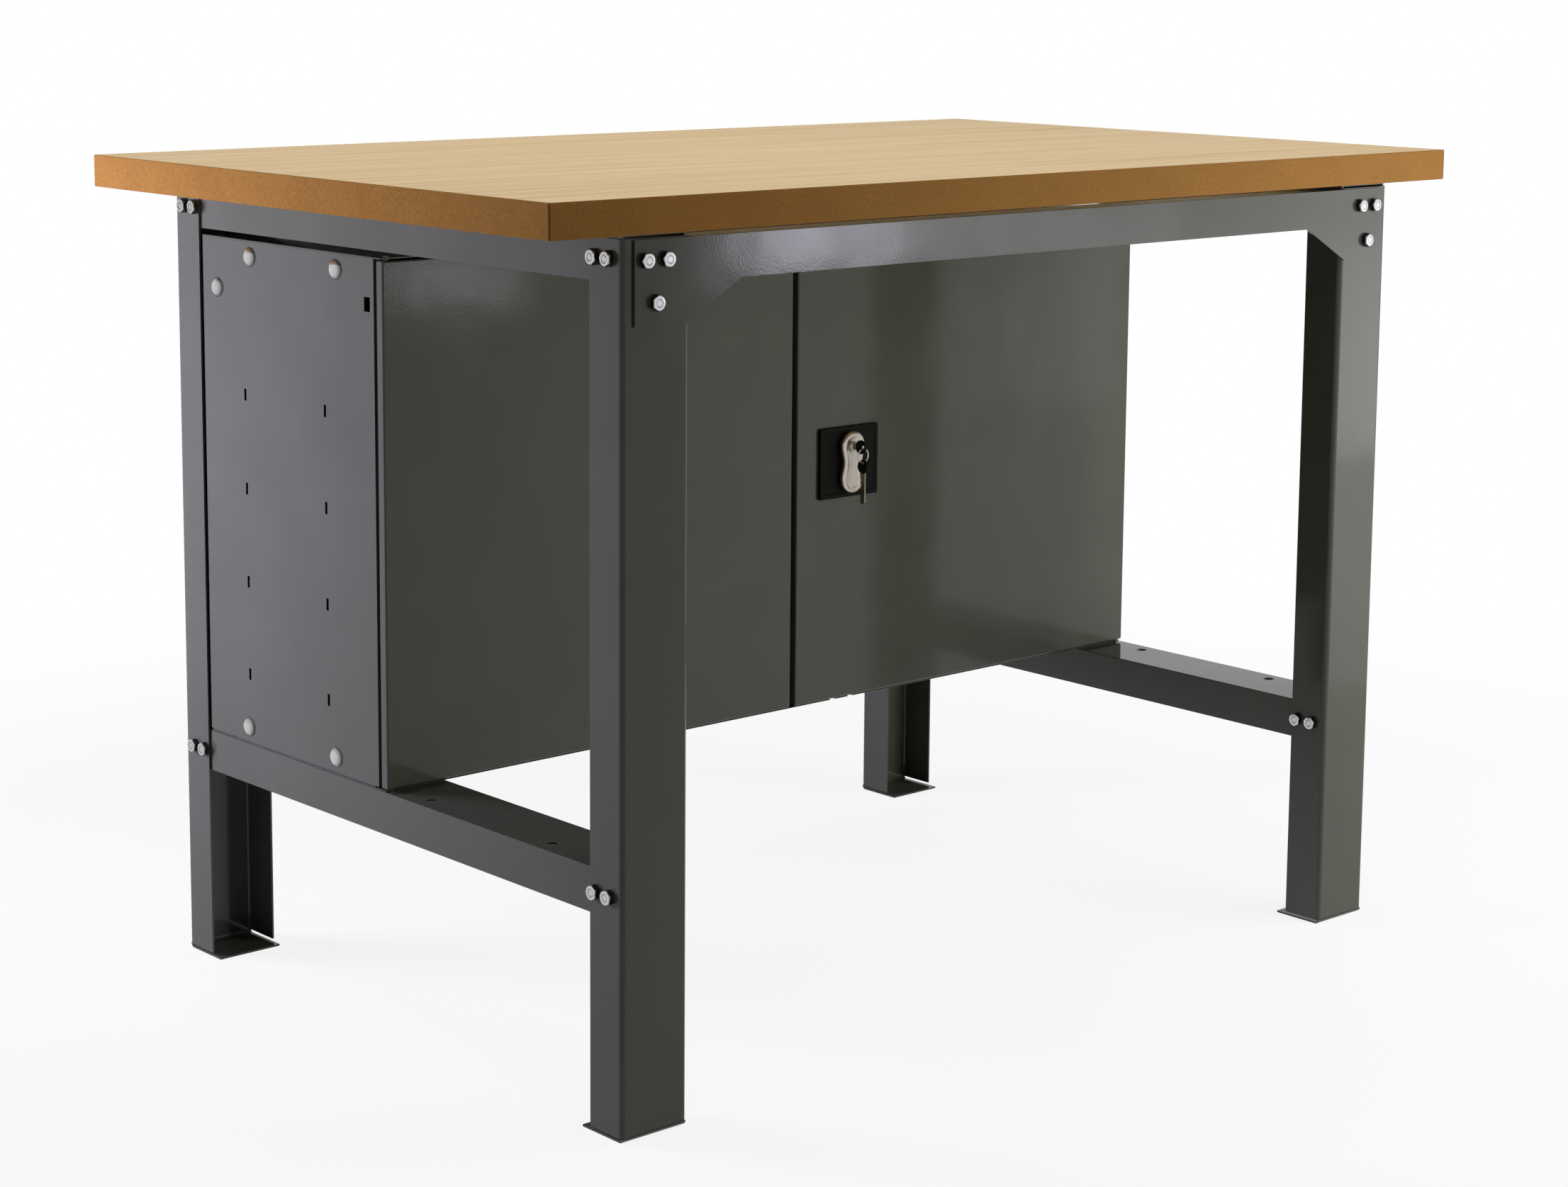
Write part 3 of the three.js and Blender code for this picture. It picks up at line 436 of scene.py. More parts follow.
def powder_coat(colours):
    """Powder-coated steel: a sprayed and baked resin skin. The eye sees a dark warm grey with a smooth gloss,
    a fine orange peel that breaks up highlights, and faint clouds of thicker and thinner coat."""
    material, tree, place, shader = start_material("powder_coated_steel")
    mottled(tree, place, shader, colours.coat, 90, (0.88, 1.12), (0.085, 0.125))
    # The real peel is about 1 mm; it is drawn at 2.6 mm so that it shows at this picture's size.
    peel = add(tree, "ShaderNodeTexNoise", {"Vector": place, "Scale": per_mm(2.6), "Detail": 1.5})
    # The sheet under the coat is never quite flat.
    waves = add(tree, "ShaderNodeTexNoise", {"Vector": place, "Scale": per_mm(60), "Detail": 1.0})
    sheet = add(tree, "ShaderNodeBump", {
        "Height": waves.outputs["Fac"], "Strength": 0.18, "Distance": 0.0012})
    bump = add(tree, "ShaderNodeBump", {
        "Height": peel.outputs["Fac"], "Strength": 0.08, "Distance": 0.0003,
        "Normal": sheet.outputs["Normal"]})
    connect(tree, shader, {"Normal": bump.outputs["Normal"], "IOR": 1.5, "Specular IOR Level": 0.2})
    return material


def board_face(colours):
    """Wood-grain melamine on fibreboard: a printed paper pressed under clear resin. The eye sees a pale tan
    face with fine darker streaks along the board's length, short pores and a low even sheen."""
    material, tree, place, shader = start_material("wood_grain_melamine")
    # Length and width in millimetres of the streaks, the pores and the wide bands.
    streaks, pores, bands = (add(tree, "ShaderNodeMapping", {
        "Vector": place, "Scale": (per_mm(along), per_mm(across), per_mm(across))}).outputs["Vector"]
        for along, across in ((400, 9), (30, 1.5), (700, 70)))
    streak = add(tree, "ShaderNodeTexNoise", {
        "Vector": streaks, "Scale": 1.0, "Detail": 4.0, "Roughness": 0.6, "Distortion": 0.3})
    band = add(tree, "ShaderNodeTexNoise", {"Vector": bands, "Scale": 1.0, "Detail": 2.0})
    pore = add(tree, "ShaderNodeTexNoise", {"Vector": pores, "Scale": 1.0, "Detail": 2.0})
    tone = opaque(colours.board)
    for marks, low, high, most, darker in (
            (streak, 0.42, 0.72, 1.0, opaque(colours.grain)),
            (band, 0.35, 0.65, 0.35, shaded(colours.board, 0.93)),
            (pore, 0.6, 0.78, 0.4, shaded(colours.grain, 0.8))):
        share = add(tree, "ShaderNodeMapRange", {
            "Value": marks.outputs["Fac"], "From Min": low, "From Max": high, "To Max": most})
        tone = add(tree, "ShaderNodeMix", {
            SHARE: share.outputs["Result"], FIRST: tone, SECOND: darker}, data_type="RGBA").outputs[MIXED]
    gloss = add(tree, "ShaderNodeMapRange", {"Value": streak.outputs["Fac"], "To Min": 0.42, "To Max": 0.55})
    bump = add(tree, "ShaderNodeBump", {
        "Height": pore.outputs["Fac"], "Strength": 0.06, "Distance": 0.0002})
    connect(tree, shader, {
        "Base Color": tone, "Roughness": gloss.outputs["Result"], "Normal": bump.outputs["Normal"],
        "Specular IOR Level": 0.12})
    return material


def board_edge(colours):
    """Cut fibreboard sealed with clear lacquer: pressed wood fibre. The eye sees a warm brown band with fine
    darker and lighter fibre specks and a dull surface."""
    material, tree, place, shader = start_material("sealed_fibreboard_edge")
    speck = add(tree, "ShaderNodeTexNoise", {
        "Vector": place, "Scale": per_mm(3), "Detail": 4.0, "Roughness": 0.7})
    patch = add(tree, "ShaderNodeTexNoise", {"Vector": place, "Scale": per_mm(45), "Detail": 2.0})
    fibre = add(tree, "ShaderNodeMapRange", {"Value": speck.outputs["Fac"], **NOISE_SPAN})
    tone = add(tree, "ShaderNodeMix", {
        SHARE: fibre.outputs["Result"], FIRST: shaded(colours.edge, 0.78), SECOND: shaded(colours.edge, 1.2)},
        data_type="RGBA")
    cloud = add(tree, "ShaderNodeMapRange", {"Value": patch.outputs["Fac"], **NOISE_SPAN, "To Max": 0.3})
    mixed = add(tree, "ShaderNodeMix", {
        SHARE: cloud.outputs["Result"], FIRST: tone.outputs[MIXED], SECOND: shaded(colours.edge, 0.7)},
        data_type="RGBA")
    bump = add(tree, "ShaderNodeBump", {
        "Height": speck.outputs["Fac"], "Strength": 0.12, "Distance": 0.0003})
    connect(tree, shader, {
        "Base Color": mixed.outputs[MIXED], "Normal": bump.outputs["Normal"], "Roughness": 0.65,
        "Specular IOR Level": 0.1})
    return material


def zinc_plate(colours):
    """Bright zinc-plated steel: electroplated and passivated. The eye sees a clean silver metal with soft
    blurred reflections and faint clouds, darkened by painted shade where the piece's own attribute says so."""
    material, tree, place, shader = start_material("zinc_plated_steel")
    tone = mottled(tree, place, shader, colours.zinc, 5, (0.85, 1.1), (0.16, 0.25), 0.05)
    # Painted shade: the attribute darkens the zinc towards near black on the heads' sides, rims and rings and
    # on the parts that lie in the dark.
    shade_values = add(tree, "ShaderNodeAttribute", attribute_name="painted_shade")
    shaded_zinc = add(tree, "ShaderNodeMix", {
        SHARE: shade_values.outputs["Fac"], FIRST: tone, SECOND: shaded(colours.zinc, 0.12)}, data_type="RGBA")
    connect(tree, shader, {"Base Color": shaded_zinc.outputs[MIXED], "Metallic": 1.0})
    return material


def moulded_plastic(colours):
    """Black ABS: injection moulded against a spark-textured tool. The eye sees a near-black surface with a
    fine even grain and a soft sheen."""
    material, tree, place, shader = start_material("black_moulded_abs")
    # The tool's grain is about 0.3 mm; it is drawn at 0.7 mm so that it shows in close views.
    mottled(tree, place, shader, colours.plastic, 0.7, (0.7, 1.4), (0.42, 0.54), 0.12, 2.0)
    connect(tree, shader, {"Specular IOR Level": 0.06})
    return material


def satin_nickel(colours):
    """Satin nickel on a zinc casting: tumbled, then plated. The eye sees a warm silver metal with broad soft
    reflections and a very fine scatter."""
    material, tree, place, shader = start_material("satin_nickel_casting")
    mottled(tree, place, shader, colours.nickel, 1.2, (0.9, 1.08), (0.29, 0.38), 0.04)
    connect(tree, shader, {"Metallic": 1.0})
    return material


def key_brass(colours):
    """Nickel-plated brass key stock: rolled, cut, tumbled and worn. The eye sees a dim, yellowish grey metal
    with blurred reflections along the blade."""
    material, tree, place, shader = start_material("plated_key_brass")
    mottled(tree, place, shader, colours.key, 2, (0.75, 1.2))
    connect(tree, shader, {"Roughness": 0.36, "Metallic": 1.0})
    return material


FINISHES = {
    "coat": ("powder_coated_steel", powder_coat),
    "face": ("wood_grain_melamine", board_face),
    "edge": ("sealed_fibreboard_edge", board_edge),
    "zinc": ("zinc_plated_steel", zinc_plate),
    "plastic": ("black_moulded_abs", moulded_plastic),
    "nickel": ("satin_nickel_casting", satin_nickel),
    "key": ("plated_key_brass", key_brass),
}


def finish(look):
    """The material of a finish, made when it is first asked for."""
    name, maker = FINISHES[look]
    return bpy.data.materials.get(name) or maker(bpy.context.scene.bench_colours)


def box_of(node):
    """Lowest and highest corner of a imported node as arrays."""
    return tuple(np.array(corner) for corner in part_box(node))


def front_of(node):
    """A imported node's two corners, and the middle and the half size of its front view."""
    low, high = box_of(node)
    return low, high, (low + high) / 2 * (X + Z), ((high - low) / 2)[[0, 2]]


# Operators


class BENCH_OT_stage(bpy.types.Operator):
    """Sets up the camera, soft lamps, pale floor and white background"""

    bl_idname = "bench.stage"
    bl_label = "Stage"

    # Each lamp: name, place, what it looks at, width, height, spread in degrees, power in watts, colour.
    LAMPS = (
        ("right_lamp", (1.15, -1.18, 0.5), (0.6, -0.3, 0.46), 1.2, 1.2, 110.0, 12.2, "#ffffff"),
        ("back_left_lamp", (-1.3, 1.25, 0.6), (-0.52, 0.4, 0.58), 0.7, 0.7, 70.0, 15.2, "#dcdbff"),
        ("top_lamp", (-0.1, -0.1, 3.0), (0.0, 0.0, 0.8), 2.6, 2.2, 180.0, 42.0, "#ffffff"),
    )
    # Soft boxes with narrow grids, given in the same way, that only show as reflections in the glossy coat.
    SOFT_BOXES = (
        ("beam_soft_box", (1.193, -2.014, 0.59), (-0.3, -0.365, 0.79), 0.26, 0.12, 6.0, 0.0021, "#f1efff"),
        ("beam_fill_box", (1.46, -1.82, 0.6), (0.0, -0.365, 0.79), 0.5, 0.12, 12.0, 0.0045, "#f8f6ff"),
        ("gusset_soft_box", (1.8, -1.5, 0.5), (0.265, -0.364, 0.72), 0.5, 0.5, 17.0, 0.022, "#f8f6ff"),
        ("leg_soft_box", (1.22, -0.98, 0.35), (0.44, -0.364, 0.52), 0.3, 0.6, 14.0, 0.0052, "#f8f6ff"),
        ("door_soft_box", (0.858, -1.812, 0.501), (-0.44, -0.003, 0.735), 0.2, 0.08, 10.0, 0.0009, "#f8f6ff"),
    )
    # The sensor's width in millimetres; how far the camera sees, half the floor's width and how far it lies
    # below the feet, in metres; and the background's strength as light on the bench.
    SENSOR = 36.0
    SIGHT = 500.0
    FLOOR_HALF = 90.0
    FLOOR_DROP = 0.0005
    DIM = 0.06

    def execute(self, context):
        self.camera(context)
        for lamp in self.LAMPS:
            self.lamp(context, *lamp).visible_glossy = False
        for lamp in self.SOFT_BOXES:
            self.lamp(context, *lamp).visible_diffuse = False
        self.background(context)
        self.floor(context)
        context.scene.view_settings.view_transform = "Standard"
        return {"FINISHED"}

    def camera(self, context):
        """Stands the camera by its azimuth, elevation and roll: its axes are right, up and back."""
        stage = context.scene.bench_stage
        a, e, r = stage.azimuth, stage.elevation, stage.roll
        back = np.array([math.sin(a) * math.cos(e), -math.cos(a) * math.cos(e), math.sin(e)])
        right = np.array([math.cos(a), math.sin(a), 0.0])
        up = np.cross(back, right)
        rolled_right = math.cos(r) * right + math.sin(r) * up
        rolled_up = math.cos(r) * up - math.sin(r) * right
        data = bpy.data.cameras.new("photo_camera")
        data.sensor_fit = "HORIZONTAL"
        data.sensor_width = self.SENSOR
        data.lens = stage.lens
        data.shift_y = stage.shift
        data.clip_end = self.SIGHT
        data.dof.use_dof = False
        camera = bpy.data.objects.new("photo_camera", data)
        matrix = np.eye(4)
        matrix[:3, :3] = np.stack([rolled_right, rolled_up, back], 1)
        matrix[:3, 3] = stage.place
        camera.matrix_world = Matrix(matrix.tolist())
        context.scene.collection.objects.link(camera)
        context.scene.camera = camera

    def lamp(self, context, name, place, target, width, height, spread, power, tint):
        """Hangs one rectangular lamp that faces its target."""
        data = bpy.data.lights.new(name, "AREA")
        data.shape = "RECTANGLE"
        data.size, data.size_y = width, height
        data.spread = math.radians(spread)
        data.energy = power
        data.color = linear(tint)
        back = np.array(place) - np.array(target)
        back /= np.linalg.norm(back)
        side = np.cross(Y if abs(back[2]) > 0.9 else Z, back)
        side /= np.linalg.norm(side)
        matrix = np.eye(4)
        matrix[:3, :3] = np.stack([side, np.cross(back, side), back], 1)
        matrix[:3, 3] = place
        lamp = bpy.data.objects.new(name, data)
        lamp.matrix_world = Matrix(matrix.tolist())
        lamp.visible_camera = False
        context.scene.collection.objects.link(lamp)
        return lamp

    def shown(self, tree):
        """One for what the camera sees, also in reflections and through glass, and nought for other light."""
        path = add(tree, "ShaderNodeLightPath")
        shown = path.outputs["Is Camera Ray"]
        for kind in ("Is Glossy Ray", "Is Transmission Ray"):
            shown = add(tree, "ShaderNodeMath", {
                0: shown, 1: path.outputs[kind]}, operation="MAXIMUM").outputs["Value"]
        return shown

    def background(self, context):
        """White to the camera and in reflections, and a dim grey as light on the bench."""
        world = bpy.data.worlds.new("studio")
        world.use_nodes = True
        tree = world.node_tree
        tree.nodes.clear()
        level = add(tree, "ShaderNodeMapRange", {
            "Value": self.shown(tree), "To Min": self.DIM, "To Max": 1.0})
        shine = add(tree, "ShaderNodeBackground", {
            "Color": (1, 1, 1, 1), "Strength": level.outputs["Result"]})
        add(tree, "ShaderNodeOutputWorld", {"Surface": shine.outputs["Background"]})
        context.scene.world = world

    def floor(self, context):
        """A wide flat sheet whose shaded middle fades to plain white with distance from the bench."""
        flat = np.array([[-1, -1], [1, -1], [1, 1], [-1, 1]]) * self.FLOOR_HALF
        mesh = bpy.data.meshes.new("studio_floor")
        mesh.from_pydata(placed(flat, -self.FLOOR_DROP, (0, 0, 0), (X, Y, Z)).tolist(), [], [[0, 1, 2, 3]])
        mesh.materials.append(self.floor_material(context.scene.bench_colours))
        floor = bpy.data.objects.new("studio_floor", mesh)
        context.scene.collection.objects.link(floor)

    def floor_material(self, colours):
        """Pale matt studio sheet, with a shadow near the bench and plain white to the camera far off."""
        material = bpy.data.materials.new("matt_studio_sheet")
        material.use_nodes = True
        tree = material.node_tree
        tree.nodes.clear()
        place = add(tree, "ShaderNodeTexCoord").outputs["Object"]
        distance = add(tree, "ShaderNodeVectorMath", {0: place}, operation="LENGTH")
        # The shadow is strongest within half a metre of the bench's middle and gone at two metres.
        fade = add(tree, "ShaderNodeMapRange", {
            "Value": distance.outputs["Value"], "From Min": 0.5, "From Max": 2.0, "To Min": 0.86,
            "To Max": 1.0}, interpolation_type="SMOOTHSTEP")
        share = add(tree, "ShaderNodeMath", {
            0: fade.outputs["Result"], 1: self.shown(tree)}, operation="MULTIPLY")
        matt = add(tree, "ShaderNodeBsdfDiffuse", {"Color": opaque(colours.floor)})
        white = add(tree, "ShaderNodeEmission", {"Color": (1, 1, 1, 1), "Strength": 1.0})
        mixed = add(tree, "ShaderNodeMixShader", {
            0: share.outputs["Value"], 1: matt.outputs["BSDF"], 2: white.outputs["Emission"]})
        add(tree, "ShaderNodeOutputMaterial", {"Surface": mixed.outputs["Shader"]})
        return material


class BENCH_OT_worktop(bpy.types.Operator):
    """Builds the worktop board with eased edges, grained faces and brown cut edges"""

    bl_idname = "bench.worktop"
    bl_label = "Worktop"

    def execute(self, context):
        sizes = context.scene.bench_sizes
        low, high = box_of("worktop")
        half = (high - low) / 2
        ease, reach = sizes.board_ease, half[2]
        upper = quarter_levels(ease, reach - ease, reach)
        lower = [(inset, -height) for inset, height in reversed(upper)]
        points, faces = stacked((low + high) / 2, half[:2], sizes.board_corner, lower + upper, (X, Y, Z))
        # The two caps, the board's faces, come last.
        looks = [1] * (len(faces) - 2) + [0, 0]
        make_piece("worktop_board", [(points, faces, looks)], ["face", "edge"], "frame",
                   ["worktop"])
        for end, side, _, _ in CORNERS:
            dress(f"top_screw_{end}_{side}", "zinc")
        return {"FINISHED"}


class BENCH_OT_legs(bpy.types.Operator):
    """Builds the four legs as folded channels with a foot plate bent in from the web"""

    bl_idname = "bench.legs"
    bl_label = "Legs"

    def execute(self, context):
        for end, side, way, _ in CORNERS:
            self.leg(context.scene.bench_sizes, f"leg_{end}_{side}", way)
        return {"FINISHED"}

    def leg(self, sizes, node, way):
        """Channel outline carried upwards, and an angle outline carried across the foot."""
        low, high = box_of(node)
        middle = sizes.sheet / 2
        left, right, sole = low[0] + middle, high[0] - middle, low[2] + middle
        face = high[1] - middle if way > 0 else low[1] + middle
        edge = face - way * (sizes.flange - middle)
        inner = face - way * (high[1] - low[1] - middle)
        base = low[2] + sizes.sheet + sizes.slit
        channel = fold([(left, edge), (left, face), (right, face), (right, edge)], sizes.bend, sizes.sheet)
        heights = np.array([base, base + CUT_RIM, high[2] - CUT_RIM, high[2]])
        upright = loft(placed(np.stack([channel] * 4), heights[:, None], (0, 0, 0), (X, Y, Z)))
        angle_line = fold([(face, base), (face, sole), (inner, sole)], sizes.bend, sizes.sheet)
        across = np.array([low[0] + sizes.foot_inset, high[0] - sizes.foot_inset])
        foot = loft(placed(np.stack([angle_line] * 2), across[:, None], (0, 0, 0), (Y, Z, X)))
        make_piece(node + "_channel", [upright, foot], ["coat"], "frame", [node])


class BENCH_OT_rails(bpy.types.Operator):
    """Builds the four side rails and the two gusseted beams with rounded folds"""

    bl_idname = "bench.rails"
    bl_label = "Rails and beams"

    def execute(self, context):
        width = context.scene.bench_sizes.frame_ease
        nodes = [f"{level}_rail_{side}" for level in ("top", "lower") for side, _ in SIDES]
        for node in nodes + ["front_beam", "back_beam"]:
            eased_copy(node, node + "_folded", width, "coat", "frame")
        return {"FINISHED"}


class BENCH_OT_cabinet(bpy.types.Operator):
    """Builds the cabinet's side panels, roof, floor, back and shelf with rounded folds"""

    bl_idname = "bench.cabinet"
    bl_label = "Cabinet"

    def execute(self, context):
        sizes = context.scene.bench_sizes
        for part in ("side_left", "side_right", "roof", "floor", "back", "shelf"):
            node = "cabinet_" + part
            grow = sizes.fit_gap if part == "back" else 0.0
            eased_copy(node, node + "_sheet", sizes.cabinet_ease, "coat", "frame", grow)
        return {"FINISHED"}


class BENCH_OT_doors(bpy.types.Operator):
    """Builds the two doors as shallow pans with rounded folded edges"""

    bl_idname = "bench.doors"
    bl_label = "Doors"

    def execute(self, context):
        for side, _ in SIDES:
            self.door(context.scene.bench_sizes, side)
        for place in ("top", "bottom"):
            for side, _ in SIDES:
                dress(f"hinge_pin_{place}_{side}", "coat")
        return {"FINISHED"}

    def door(self, sizes, side):
        """Rounded rectangles from the inside of the pan, over its rim, to the front face."""
        node = "door_" + side
        low, high, centre, half = front_of(node)
        front, back = low[1], high[1]
        sheet, ease, rim = sizes.door_sheet, sizes.door_ease, CUT_RIM
        levels = [(sheet + rim, front + sheet), (sheet, front + sheet + rim), (sheet, back - rim),
                  (sheet - rim, back), (rim, back), (0.0, back - rim)]
        levels += quarter_levels(ease, front + ease, front)
        pan = stacked(centre, half, ease, levels, (X, Z, Y))
        make_piece(node + "_pan", [pan], ["coat"], side + "_door", [node])


class BENCH_OT_frame_bolts(bpy.types.Operator):
    """Builds the frame's bolt sets with chamfered hexagon heads, nuts and their tie plates"""

    bl_idname = "bench.frame_bolts"
    bl_label = "Frame bolts"

    # Rings of a head: height above its seat or depth below its top, radius as a share of half the width
    # across flats, where the hexagon cuts a share of 2, and how much painted shade darkens the ring.
    SEAT_RINGS = ((0.0, 0.9, 1.0), (0.0004, 0.92, 1.0), (0.0005, 2.0, 1.0))
    TOP_RINGS = (
        (0.0016, 2.0, 1.0), (0.0008, 1.06, 0.75), (0.0002, 0.97, 0.25), (0.0, 0.88, 0.0), (0.0, 0.66, 0.0),
        (0.0005, 0.6, 0.7), (0.0005, 0.42, 0.2), (0.0001, 0.36, 0.1))
    SPACER_CORNER = 0.0015
    NUT_PLATE_CORNER = 0.002
    # Spreads the heads' turns, which follow from their places, over a sixth turn.
    TURN_SPREAD = 97.0

    def execute(self, context):
        sizes = context.scene.bench_sizes
        for end, side, way, hand in CORNERS:
            for level in ("top", "lower"):
                self.rail_set(sizes, f"{level}_rail_bolts_{end}_{side}", hand)
            self.gusset_set(sizes, f"gusset_bolts_{end}_{side}", way)
        return {"FINISHED"}

    def head(self, sizes, seat, axis):
        """A hexagon whose top corners a cone cuts well back, with a shallow ring pressed into its top face,
        turned as it happens to be when tight."""
        top, inner = sizes.head_height, sizes.head_flats / 2
        levels = [(height, inner * share) for height, share, _ in self.SEAT_RINGS]
        levels += [(top - depth, inner * share) for depth, share, _ in self.TOP_RINGS]
        turn = np.abs(seat).sum() * self.TURN_SPREAD % (math.pi / 3)
        return turned(seat, axis, levels, sizes.head_flats, turn)

    def rail_set(self, sizes, node, hand):
        """Two through bolts across a leg and rail, tied by a spacer."""
        low, high = box_of(node)
        outer, inner = (high[0], low[0]) if hand > 0 else (low[0], high[0])
        middle = (low + high) / 2
        reach = abs(outer - inner) / 2 - sizes.head_height
        heads, shells = [], []
        for step in (-0.5, 0.5):
            place = middle + Y * step * sizes.rail_bolt_pitch
            for end, way in ((outer, hand), (inner, -hand)):
                seat = np.array([end - way * sizes.head_height, place[1], place[2]])
                heads.append(self.head(sizes, seat, X * way))
            shells.append(bar(place, X, -reach, reach, sizes.shank / 2))
        spacer = reach - 3 * sizes.fit_gap - 2 * sizes.sheet
        half = np.array([sizes.rail_bolt_pitch + sizes.spacer_height, sizes.spacer_height]) / 2
        shells.append(stacked(middle, half, self.SPACER_CORNER, [(0, -spacer), (0, spacer)], (Y, Z, X)))
        self.make(node, heads, shells)

    def gusset_set(self, sizes, node, way):
        """Three bolts through a gusset and a leg's web into one nut plate."""
        low, high, centre, half = front_of(node)
        outer, inner = (high[1], low[1]) if way > 0 else (low[1], high[1])
        margin, pitch = sizes.nut_plate_margin, sizes.gusset_bolt_pitch / 2
        places = ((centre[0] - pitch, high[2] - margin), (centre[0] + pitch, high[2] - margin),
                  (centre[0], low[2] + margin))
        heads, shells = [], []
        for x, z in places:
            seat = np.array([x, outer - way * sizes.head_height, z])
            heads.append(self.head(sizes, seat, Y * way))
            shells.append(bar([x, 0, z], Y, inner + way * OVERLAP, seat[1], sizes.shank / 2))
        faces = [(0, inner), (0, inner + way * sizes.nut_plate_thick)]
        shells.append(stacked(centre, half, self.NUT_PLATE_CORNER, faces, (X, Z, Y)))
        self.make(node, heads, shells)

    def make(self, node, heads, shells):
        """One piece of heads and what ties them, with painted shade on the heads' sides and in their ring."""
        shade_values = painted_shade_points(heads + shells, [ring[2] for ring in self.SEAT_RINGS + self.TOP_RINGS], len(heads))
        make_piece(node + "_fine", heads + shells, ["zinc"], "frame", [node], shade_values=shade_values)


class BENCH_OT_cabinet_bolts(bpy.types.Operator):
    """Builds the cabinet's mushroom-head bolts with smooth domes and nuts"""

    bl_idname = "bench.cabinet_bolts"
    bl_label = "Cabinet bolts"

    # Insets of the rim's two rings, the angle from the pole at which the dome's last ring lies, how much
    # painted shade darkens each ring, and the nut's chamfer, the radius of its face as a share of its flats,
    # and its turn.
    RIM = (0.0006, 0.0002)
    POLE = 0.04
    RING_SHADE = (1, 1, 1, 0.8, 0.5, 0.25, 0.1, 0.05, 0, 0, 0)
    NUT_CHAMFER = 0.0008
    NUT_FACE = 0.48
    NUT_TURN = 0.2

    def execute(self, context):
        sizes = context.scene.bench_sizes
        places = ("roof_front", "roof_back", "floor_front", "floor_back", "back_top")
        for side, hand in SIDES:
            for place in places:
                self.bolt(sizes, f"cabinet_bolt_{place}_{side}", hand)
        return {"FINISHED"}

    def bolt(self, sizes, node, hand):
        """A cap of a sphere, r = R sin a at height R cos a, on a short rim, with a shank and a nut."""
        low, high = box_of(node)
        middle = (low + high) / 2
        outer, inner = (high[0], low[0]) if hand > 0 else (low[0], high[0])
        radius, tall = (high[1] - low[1]) / 2, sizes.dome_height
        sphere = (tall ** 2 + radius ** 2) / (2 * tall)
        sweep = np.linspace(math.asin(radius / sphere), self.POLE, len(self.RING_SHADE) - len(self.RIM))
        dome = np.stack([sphere * np.cos(sweep) - sphere + tall, sphere * np.sin(sweep)], -1)
        levels = np.vstack([[[0.0, radius - inset] for inset in self.RIM], dome])
        flats, nut_top = sizes.head_flats, sizes.cabinet_nut_height
        nut_levels = [(0, flats), (nut_top - self.NUT_CHAMFER, flats), (nut_top, flats * self.NUT_FACE)]
        seat = np.array([outer - hand * tall, middle[1], middle[2]])
        nut = np.array([inner + hand * nut_top, middle[1], middle[2]])
        shells = [
            turned(seat, X * hand, levels),
            turned(nut, -X * hand, nut_levels, flats, self.NUT_TURN),
            bar(seat, -X * hand, -OVERLAP, abs(seat[0] - nut[0]) + OVERLAP, sizes.shank / 2),
        ]
        # Painted shade darkens the dome towards its rim and darkens the nut and shank by half.
        shade_values = painted_shade_points(shells, self.RING_SHADE, 1)
        make_piece(node + "_fine", shells, ["zinc"], "frame", [node], FINE_CREASE, shade_values)


